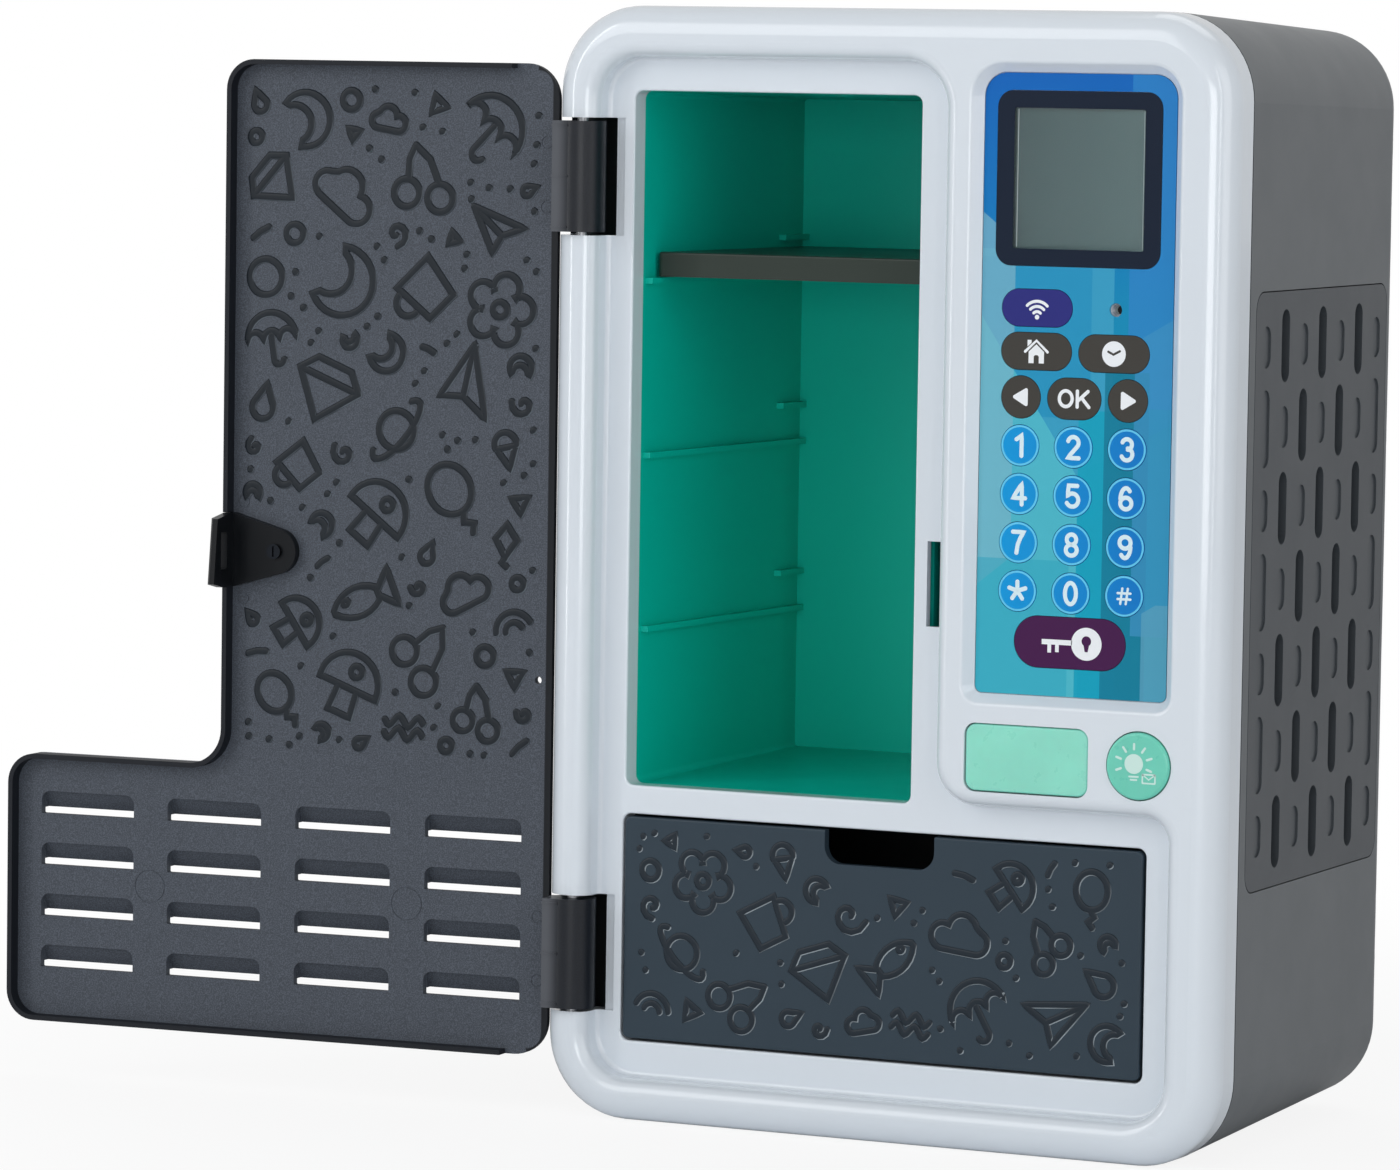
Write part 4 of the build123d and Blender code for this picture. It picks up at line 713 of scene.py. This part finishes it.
def pen_drawn(name, lines, width, place, material, body):
    """Lines of a round pen on a surface that faces the viewer: their points, and if they are closed."""
    def lay(x, y, height):
        return Vector(place) + Vector((x, -height, y)) * MM

    mesh = bmesh.new()
    for points, closed in lines:
        add_stroke(mesh, points, closed, width, pen_rise, 0.0, lay)
    mesh_piece(name, mesh, material, body)


def mesh_piece(name, mesh, material, body):
    """Smooth piece of the finished faces of a bmesh."""
    bmesh.ops.recalc_face_normals(mesh, faces=mesh.faces)
    data = bpy.data.meshes.new(name)
    mesh.to_mesh(data)
    mesh.free()
    piece = bpy.data.objects.new(name, data)
    bpy.context.scene.collection.objects.link(piece)
    finish_piece(piece, material, body, smooth=True)


def front_of(node):
    """Middle of a node's front face."""
    middle = centre(node)
    return Vector((middle.x, low(node).y, middle.z))


# Radii of the rings, and widths of the pens, in mm
ring_outer, ring_inner = 5.1, 4.6
digit_pen, hash_pen, letter_pen = 1.1, 0.62, 0.9
star_reach = 2.35


def turned(lines):
    """Lines turned half round."""
    return [([(-x, -y) for x, y in points], closed) for points, closed in lines]


def digit_lines():
    """Pen lines of the digits, the star and the hash, in mm about the key's centre."""
    six = [(loop(0, -1.2, 1.5, 0.97), True), (arc(0, -0.3, 1.5, 48, 128, 1.96), False)]
    lines = {
        "0": [(loop(0, 0, 1.5, 1.78), True)],
        "1": [([(-1.0, 1.5), (-0.1, 2.1), (0.45, 2.65), (0.45, -2.65)], False)],
        "2": [(arc(0, 1.2, 1.45, 165, -200) + [(-1.5, -2.65), (1.55, -2.65)], False)],
        "3": [(arc(0, 1.32, 1.33, 158, -238), False), (arc(0, -1.15, 1.5, 82, -240), False)],
        "4": [([(0.75, -2.65), (0.75, 2.65), (-1.65, -1.05), (1.7, -1.05)], False)],
        "5": [([(1.35, 2.65), (-1.0, 2.65), (-1.3, 0.1)] + arc(0, -0.95, 1.65, 138, -290), False)],
        "6": six,
        "7": [([(-1.5, 2.65), (1.5, 2.65), (0.6, 1.2), (-0.1, -0.5), (-0.45, -2.65)], False)],
        "8": [(loop(0, 1.35, 1.28, 1.0), True), (loop(0, -1.3, 1.5, 0.92), True)],
        "9": turned(six),
    }
    rays = [math.radians(90 + 72 * i) for i in range(5)]
    tips = [(star_reach * math.cos(a), star_reach * math.sin(a)) for a in rays]
    lines["star"] = [([(0, 0), tip], False) for tip in tips]
    lines["hash"] = [([(-1.75, y), (1.75, y)], False) for y in (-0.75, 0.75)]
    lines["hash"] += [([(x - 0.25, -1.95), (x + 0.25, 1.95)], False) for x in (-0.75, 0.75)]
    return lines


def dress_digit_keys():
    """Pale digit and ring on each round key."""
    for label, lines in digit_lines().items():
        key = f"key_{label}"
        place = front_of(key)
        ring = [circle(0, 0, ring_outer, 64), circle(0, 0, ring_inner, 64)]
        printed(f"ring_{label}", ring, place, "print_cyan", key)
        pen = hash_pen if label == "hash" else digit_pen
        pen_drawn(f"digit_{label}", lines, pen, place, "print_digit", key)


def white_sign(name, loops, key):
    """Pale symbol printed on a menu key."""
    printed(name, loops, front_of(key), "print_white", key)


def dress_menu_keys():
    """Arrows, OK, house, clock and waves."""
    for side, sign in (("left", -1), ("right", 1)):
        arrow = rounded_polygon([(2.6 * sign, 0), (-1.9 * sign, 2.6), (-1.9 * sign, -2.6)], 0.45)
        white_sign(f"arrow_{side}", [arrow], f"key_{side}")
    letters = [(loop(-2.3, 0, 1.75, 1.13), True), ([(0.85, -2.0), (0.85, 2.0)], False),
               ([(3.75, 2.0), (0.95, -0.5)], False), ([(1.95, 0.4), (4.05, -2.0)], False)]
    pen_drawn("ok_letters", letters, letter_pen, front_of("key_ok"), "print_white", "key_ok")

    roof = band([(-3.05, -0.1), (0, 2.7), (3.05, -0.1)], 0.7)
    house = [(-2.1, -0.1), (0, 1.8), (2.1, -0.1), (2.1, -3.0), (0.7, -3.0), (0.7, -1.3), (0.35, -0.95),
             (-0.35, -0.95), (-0.7, -1.3), (-0.7, -3.0), (-2.1, -3.0)]
    chimney = [(-2.45, 1.15), (-2.45, 2.85), (-1.35, 2.85), (-1.35, 2.15)]
    for name, outline in (("roof", roof), ("house", house), ("chimney", chimney)):
        white_sign(f"home_{name}", [outline], "key_home")

    white_sign("clock_face", [circle(0, 0, 3.2)], "key_clock")
    hands = band([(-1.5, 0.55), (-0.1, -0.15), (1.6, 0.75)], 0.6)
    over_face = front_of("key_clock") - Vector((0, PRINT, 0))
    printed("clock_hands", [hands], over_face, "print_grey", "key_clock")

    raised = front_of("key_wireless") + Vector((0, 0, 0.2 * MM))
    for i, radius in enumerate((1.3, 2.6, 3.9)):
        wave = band(circle(0, -2.4, radius, 16, 45, 90.0), 0.75)
        printed(f"wave_{i}", [wave], raised, "print_white", "key_wireless")
    white_sign("wave_dot", [circle(0, -2.3, 0.6, 20)], "key_wireless")


# The key symbol's shaft and round bow, in mm about the middle of the unlock key
shaft_top, shaft_bottom = 0.75, -0.55
bow_middle, bow_radius = 4.6, 4.15


def dress_unlock_key():
    """Symbol of a key: a round bow with a keyhole, and a shaft with two bits."""
    white_sign("key_symbol_head", [circle(bow_middle, 0, bow_radius, 56)], "key_unlock")
    shaft = [(-7.6, shaft_bottom), (-7.6, shaft_top), (0.7, shaft_top), (0.7, shaft_bottom)]
    for right, left, tip in ((-2.9, -3.9, -2.4), (-5.0, -6.0, -2.6)):
        shaft += [(right, shaft_bottom), (right, tip), (left, tip), (left, shaft_bottom)]
    white_sign("key_symbol_shaft", [shaft], "key_unlock")
    hole = circle(bow_middle, 0.7, 1.3, 24, -55, 290.0) + [(4.2, -2.0), (5.0, -2.0)]
    over_bow = front_of("key_unlock") - Vector((0, PRINT, 0))
    printed("key_symbol_hole", [hole], over_bow, "print_purple", "key_unlock")


def dress_microphone():
    """Black disc painted on the microphone as the shade deep in its hole, and a grey crescent painted as the lit
    far wall of the hole.
    """
    place = front_of("microphone")
    printed("microphone_hole_shade", [circle(0, 0, 1.05)], place, "print_black", "case")
    lit_wall = circle(0, 0, 1.0, 20, 100, 160.0) + circle(0.45, 0, 0.92, 20, 245, -130.0)
    printed("microphone_lit_wall", [lit_wall], place, "print_shade", "case", 2 * PRINT)


# The screen's window and border, in mm
border_margin = 0.05
border_corner, window_corner = 4.1, 0.4
window_half_width, window_half_height = 17.75, 17.65
glass_half_width, glass_half_height = 17.1, 17.3


def dress_screen():
    """Navy border on the lens round the visible screen, and thin pale painted highlights along the edges of the
    glass behind it.
    """
    lens_low, lens_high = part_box("screen_lens")
    middle = (lens_low + lens_high) / 2
    half_w = (lens_high.x - lens_low.x) / 2 / MM - border_margin
    half_h = (lens_high.z - lens_low.z) / 2 / MM - border_margin
    outer = round_rect(-half_w, half_w, -half_h, half_h, border_corner)
    window = round_rect(-window_half_width, window_half_width, -window_half_height, window_half_height,
                        window_corner)
    on_lens = (middle.x, lens_low.y, middle.z)
    printed("lens_border", [outer, window], on_lens, "print_navy", "case")
    # Pale lines painted where the glass's edges catch the light
    on_glass = (middle.x, low("screen_module").y, middle.z)
    for side, width in ((-1, 0.2), (1, 0.1)):
        line = side * glass_half_width
        edge = round_rect(line - width / 2, line + width / 2, -glass_half_height, glass_half_height,
                          width / 2.2)
        printed(f"glass_edge_{side + 1}", [edge], on_glass, "print_glass", "case")


# The bulb on the round button, in mm about the button's centre
bulb_x, bulb_y, bulb_radius = -0.9, 0.6, 2.5
ray_start, ray_end, ray_pen = 3.7, 5.0, 0.6


def dress_lamp_button():
    """Bulb with rays and a small letter, printed on the round button."""
    shapes = {"bulb": [circle(bulb_x, bulb_y, bulb_radius, 36)]}
    for i, angle in enumerate((-20, 18, 54, 90, 126, 162, 200)):
        a = math.radians(angle)
        ends = [(bulb_x + reach * math.cos(a), bulb_y + reach * math.sin(a))
                for reach in (ray_start, ray_end)]
        shapes[f"ray_{i}"] = [band(ends, ray_pen)]
    for i, (y, half) in enumerate(((-2.6, 1.2), (-3.4, 0.8))):
        shapes[f"bulb_foot_{i}"] = [band([(bulb_x - half, y), (bulb_x + half, y)], 0.45)]
    shapes["letter"] = [round_rect(1.3, 5.1, -4.3, -1.7, 0.3), round_rect(1.7, 4.7, -3.9, -2.1, 0.2)]
    shapes["letter_flap"] = [band([(1.6, -2.0), (3.2, -3.2), (4.8, -2.0)], 0.35)]
    for name, loops in shapes.items():
        printed(f"lamp_{name}", loops, front_of("light_button"), "print_pale", "light_button")


dress_digit_keys()
dress_menu_keys()
dress_unlock_key()
dress_microphone()
dress_screen()
dress_lamp_button()


# ---------------------------------------------------------------------------
# Raised doodles: a motif is pen lines about one unit round its middle, each with whether it is closed
# ---------------------------------------------------------------------------
def moon():
    return [(arc(0, 0, 0.9, 60, 240) + arc(0.42, 0.02, 0.62, 262, -164), True)]


def cloud():
    return [(arc(-0.5, -0.15, 0.38, 90, 180) + [(0.5, -0.53)] + arc(0.55, -0.18, 0.35, 270, 160)
             + arc(0.08, 0.12, 0.45, 20, 150), True)]


def leaf():
    side = arc(-0.75, 0, 1.2, -42, 84)
    other = arc(0.75, 0, 1.2, 138, 84)
    return [(side + other, True), ([(0, -0.95), (0, 0.35)], False)]


def flower():
    petals = []
    for i in range(5):
        a = math.radians(90 + 72 * i)
        petals += arc(0.58 * math.cos(a), 0.58 * math.sin(a), 0.36, 90 + 72 * i - 115, 230)
    return [(petals, True), (loop(0, 0, 0.2, count=14), True)]


def umbrella():
    dome = arc(0, -0.05, 0.9, 0, 180)
    for x in (-0.6, 0, 0.6):
        dome += arc(x, -0.05, 0.3, 180, -180)
    return [(dome, True), ([(0, 0.1), (0, -0.7)] + arc(-0.18, -0.72, 0.18, 0, -170), False)]


def planet():
    return [(loop(0, 0, 0.5), True), (arc(0, 0, 0.98, 150, 240, 0.32), False)]


def plane():
    return [([(-0.9, 0.05), (0.9, 0.75), (0.25, -0.75), (-0.1, -0.2)], True),
            ([(-0.1, -0.2), (0.9, 0.75)], False)]


def cup():
    return [([(-0.7, 0.5), (-0.55, -0.7), (0.35, -0.7), (0.5, 0.5)], True),
            (arc(0.55, 0, 0.33, 80, -170), False)]


def fish():
    body = arc(0.15, -0.62, 1.0, 128, -86) + arc(0.15, 0.62, 1.0, -42, -86)
    return [(body, True), ([(-0.52, 0.12), (-0.95, 0.5), (-0.9, -0.5), (-0.52, -0.12)], False),
            (loop(0.5, 0.12, 0.07, count=10), True)]


def mushroom():
    return [(arc(0, 0.0, 0.85, 0, 180) + [(-0.85, -0.08), (0.85, -0.08)], True),
            ([(-0.28, -0.15), (-0.33, -0.8), (0.33, -0.8), (0.28, -0.15)], False),
            (loop(-0.1, 0.4, 0.16, count=12), True)]


def cherries():
    return [(loop(-0.45, -0.5, 0.36), True), (loop(0.5, -0.38, 0.36), True),
            ([(-0.4, -0.1), (-0.15, 0.5), (0.25, 0.85)], False),
            ([(0.45, 0.02), (0.42, 0.5), (0.25, 0.85)], False)]


def gem():
    outline = [(-0.9, 0.3), (-0.5, 0.75), (0.5, 0.75), (0.9, 0.3), (0, -0.8)]
    return [(outline, True), ([(-0.85, 0.3), (0.85, 0.3)], False)]


def balloon():
    return [(loop(0, 0.3, 0.6, 1.12), True),
            ([(0, -0.42), (0.12, -0.62), (-0.1, -0.8), (0.05, -1.0)], False)]


def cone():
    return [([(-0.5, 0.0), (0, -1.0), (0.5, 0.0)], True), (arc(0, 0.15, 0.56, -10, 200), False)]


def snail():
    return [([(r * math.cos(a), r * math.sin(a)) for r, a in
              ((0.15 + 0.075 * t, 0.55 * t) for t in range(12))], False)]


def drop():
    return [(arc(0, -0.25, 0.55, -220, 260) + [(0, 0.9)], True)]


def ring():
    return [(loop(0, 0, 0.86), True)]


def small_ring():
    return [(loop(0, 0, 0.72, count=18), True)]


def dash():
    return [([(-0.75, -0.2), (0, 0.05), (0.75, 0.1)], False)]


def triangle():
    return [(circle(0, 0, 0.8, 3, 90), True)]


def rainbow():
    return [(arc(0, -0.4, r, 15, 150), False) for r in (0.45, 0.95)]


def waves():
    return [([(x / 8, 0.25 * math.sin(x / 8 * math.pi * 2) + dy) for x in range(-8, 9)], False)
            for dy in (0.3, -0.3)]


def kite():
    return [([(0, 0.95), (0.55, 0.25), (0, -0.6), (-0.55, 0.25)], True),
            ([(0, -0.62), (0.15, -0.85), (-0.1, -1.05)], False)]


def dot():
    return [([(-0.16, 0), (0.16, 0)], False)]


LARGE = (moon, cloud, flower, umbrella, planet, plane, cup, fish, mushroom, cherries, gem, balloon)
MEDIUM = (leaf, cone, snail, drop, kite, rainbow, waves, moon, cloud, ring)
SMALL = (triangle, drop, small_ring, snail, dash, moon)
TINY = (dot,)
PLACING_TRIES = 700


def place_motif(motif, x, y, size, angle):
    """A motif's strokes, scaled, turned and moved to a place, in mm."""
    cos, sin = math.cos(angle) * size, math.sin(angle) * size
    return [([(x + px * cos - py * sin, y + px * sin + py * cos) for px, py in points], closed)
            for points, closed in motif()]


def scatter(inside, limits, classes, seed, gap):
    """Packs motifs into a region: the larger ones first, each near its neighbours without touching them.

    A class is its motifs, their radius in mm, how many are tried, and how far they may turn in degrees.
    """
    rng = random.Random(seed)
    placed = []
    for motifs, size, count, turn in classes:
        pool = []
        for _ in range(count):
            if not pool:
                pool = list(motifs)
                rng.shuffle(pool)
            best = None
            for _ in range(PLACING_TRIES):
                x, y = rng.uniform(*limits[0]), rng.uniform(*limits[1])
                if not inside(x, y, size):
                    continue
                rooms = (math.hypot(x - px, y - py) - size - other - gap for px, py, other, _, _ in placed)
                room = min(rooms, default=0.0)
                if room >= 0 and (best is None or room < best[0]):
                    best = (room, x, y)
            if best:
                placed.append((best[1], best[2], size, pool.pop(), rng.uniform(-turn, turn)))
    return placed


relief_sink = 0.1  # How far a stroke's foot reaches under the panel's face, in mm


def relief(name, placed, width, rise, lay, material, body):
    """One mesh of all the raised strokes on a panel."""
    mesh = bmesh.new()
    for x, y, size, motif, angle in placed:
        for points, closed in place_motif(motif, x, y, size - width / 2, math.radians(angle)):
            add_stroke(mesh, points, closed, width, rise, relief_sink, lay)
    mesh_piece(name, mesh, material, body)


# The doodled field of the door, in mm along the leaf and up, and the circles it keeps clear of:
# the hook's boss and plate, and the small hole
door_field = ((11.0, 98.0), (91.5, 269.0))
door_keep_out = ((86.4, 144.2, 9.5), (97.0, 144.2, 12.5), (10.8, 114.0, 2.0))
door_pen, door_rise, door_seed, door_gap = 2.1, 0.35, 7, 0.5
DOOR_CLASSES = ((LARGE, 11.2, 14, 60), (LARGE, 9.0, 14, 60), (MEDIUM, 6.6, 30, 70),
                (SMALL, 4.5, 44, 90), (SMALL, 3.4, 34, 90), (TINY, 1.6, 70, 90))


def inside_field(field, keep_out, x, y, size):
    (left, right), (bottom, top) = field
    clear = left + size <= x <= right - size and bottom + size <= y <= top - size
    return clear and all(math.hypot(x - kx, y - ky) > radius + size for kx, ky, radius in keep_out)


def on_door(x, y, height):
    return door_point(x * MM, height * MM, y * MM)


door_doodles = scatter(partial(inside_field, door_field, door_keep_out), door_field, DOOR_CLASSES,
                       door_seed, door_gap)
relief("door_relief", door_doodles, door_pen, door_rise, on_door, "relief_dark", "door")

# The doodled field of the drawer, in mm, and two circles over its finger notch
side_margin, edge_margin = 2.5, 2.2
drawer_low, drawer_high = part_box("drawer_front")
drawer_field = ((drawer_low.x / MM + side_margin, drawer_high.x / MM - side_margin),
                (drawer_low.z / MM + edge_margin, drawer_high.z / MM - edge_margin))
drawer_keep_out = ((-9.0, 79.0, 13.5), (6.0, 79.0, 13.5))
drawer_pen, drawer_rise, drawer_seed, drawer_gap = 1.9, 0.28, 21, 0.4
DRAWER_CLASSES = ((LARGE, 9.8, 9, 60), (LARGE, 8.2, 9, 60), (MEDIUM, 6.1, 18, 70),
                  (SMALL, 4.4, 24, 90), (SMALL, 3.3, 18, 90), (TINY, 1.5, 30, 90))


def on_drawer(x, y, height):
    return Vector((x * MM, drawer_low.y - height * MM, y * MM))


drawer_doodles = scatter(partial(inside_field, drawer_field, drawer_keep_out), drawer_field, DRAWER_CLASSES,
                         drawer_seed, drawer_gap)
relief("drawer_relief", drawer_doodles, drawer_pen, drawer_rise, on_drawer, "relief_drawer", "drawer")


# ---------------------------------------------------------------------------
# Studio
# ---------------------------------------------------------------------------
floor_side = 16
fade_start, fade_end = 0.1, 0.6
near_white, far_white = 0.88, 1.0
FLOOR_DARKER, FLOOR_LIGHTER = (236, 237, 239), (240, 241, 243)


def make_floor():
    """Pale floor that keeps the shadow near the object and fades to plain white further out."""
    bpy.ops.mesh.primitive_plane_add(size=1)
    floor = bpy.context.object
    floor.name = "floor"
    floor.scale = (floor_side, floor_side, 1)
    tree = Tree("floor_white")
    floor.data.materials.append(tree.material)
    place = tree.add("ShaderNodeNewGeometry").outputs["Position"]
    length = tree.add("ShaderNodeVectorMath", operation="LENGTH")
    tree.set(length.inputs[0], place)
    distance = length.outputs["Value"]
    far = tree.remap(distance, fade_start, fade_end, near_white, far_white, smooth=True)
    seen = tree.add("ShaderNodeLightPath").outputs["Is Camera Ray"]
    drift = tree.noise(place, 3, 2)
    colour = tree.mix(drift, linear(FLOOR_DARKER), linear(FLOOR_LIGHTER))
    tree.set(tree.shader.inputs["Base Color"], colour)
    tree.shader.inputs["Roughness"].default_value = 0.6
    glow = tree.add("ShaderNodeEmission")
    glow.inputs["Strength"].default_value = 1.0
    mixer = tree.add("ShaderNodeMixShader")
    tree.set(mixer.inputs[0], tree.math("MULTIPLY", seen, far))
    tree.links.new(tree.shader.outputs[0], mixer.inputs[1])
    tree.links.new(glow.outputs[0], mixer.inputs[2])
    tree.links.new(mixer.outputs[0], tree.output.inputs["Surface"])


def softbox(name, place, size, power):
    """Rectangular lamp that is aimed at the object."""
    data = bpy.data.lights.new(name, "AREA")
    data.shape = "RECTANGLE"
    data.size, data.size_y = size
    data.energy = power
    lamp = bpy.data.objects.new(name, data)
    lamp.location = place
    lamp.rotation_euler = (Vector(aim) - Vector(place)).to_track_quat("-Z", "Y").to_euler()
    bpy.context.scene.collection.objects.link(lamp)


world_light, reflected_light = 0.34, 0.41


def make_world():
    """Soft grey surroundings that look white to the camera and pale grey in reflections."""
    world = bpy.data.worlds.new("studio")
    bpy.context.scene.world = world
    world.use_nodes = True
    tree = world.node_tree
    background = tree.nodes["Background"]
    paths = tree.nodes.new("ShaderNodeLightPath")
    white = tree.nodes.new("ShaderNodeMath")
    white.operation = "MAXIMUM"
    tree.links.new(paths.outputs["Is Camera Ray"], white.inputs[0])
    tree.links.new(paths.outputs["Is Transmission Ray"], white.inputs[1])
    glossy = tree.nodes.new("ShaderNodeMath")
    glossy.operation = "MULTIPLY_ADD"
    glossy.inputs[1].default_value = reflected_light
    tree.links.new(paths.outputs["Is Glossy Ray"], glossy.inputs[0])
    glossy.inputs[2].default_value = world_light
    strength = tree.nodes.new("ShaderNodeMath")
    strength.operation = "MAXIMUM"
    tree.links.new(white.outputs[0], strength.inputs[0])
    tree.links.new(glossy.outputs[0], strength.inputs[1])
    tree.links.new(strength.outputs[0], background.inputs["Strength"])
    background.inputs["Color"].default_value = (1, 1, 1, 1)


# Lamps: name, place and size in metres, and watts
LAMPS = (
    ("key_light", (-0.9, -1.7, 1.1), (1.2, 1.2), 8.5),
    ("front_light", (0.45, -2.0, 0.1), (0.9, 0.9), 9.5),
    ("fill_light", (1.7, -0.7, 0.7), (1.0, 1.4), 6),
    ("top_light", (0.1, 0.5, 1.6), (1.2, 0.8), 4),
    ("left_strip", (-1.0, -0.9, 0.4), (0.08, 1.4), 3),
    ("right_strip", (1.15, -1.35, 0.4), (0.06, 1.4), 1.8),
)
aim = (0, 0, 0.14)

make_floor()
make_world()
for lamp_name, lamp_place, lamp_size, watts in LAMPS:
    softbox(lamp_name, lamp_place, lamp_size, watts)
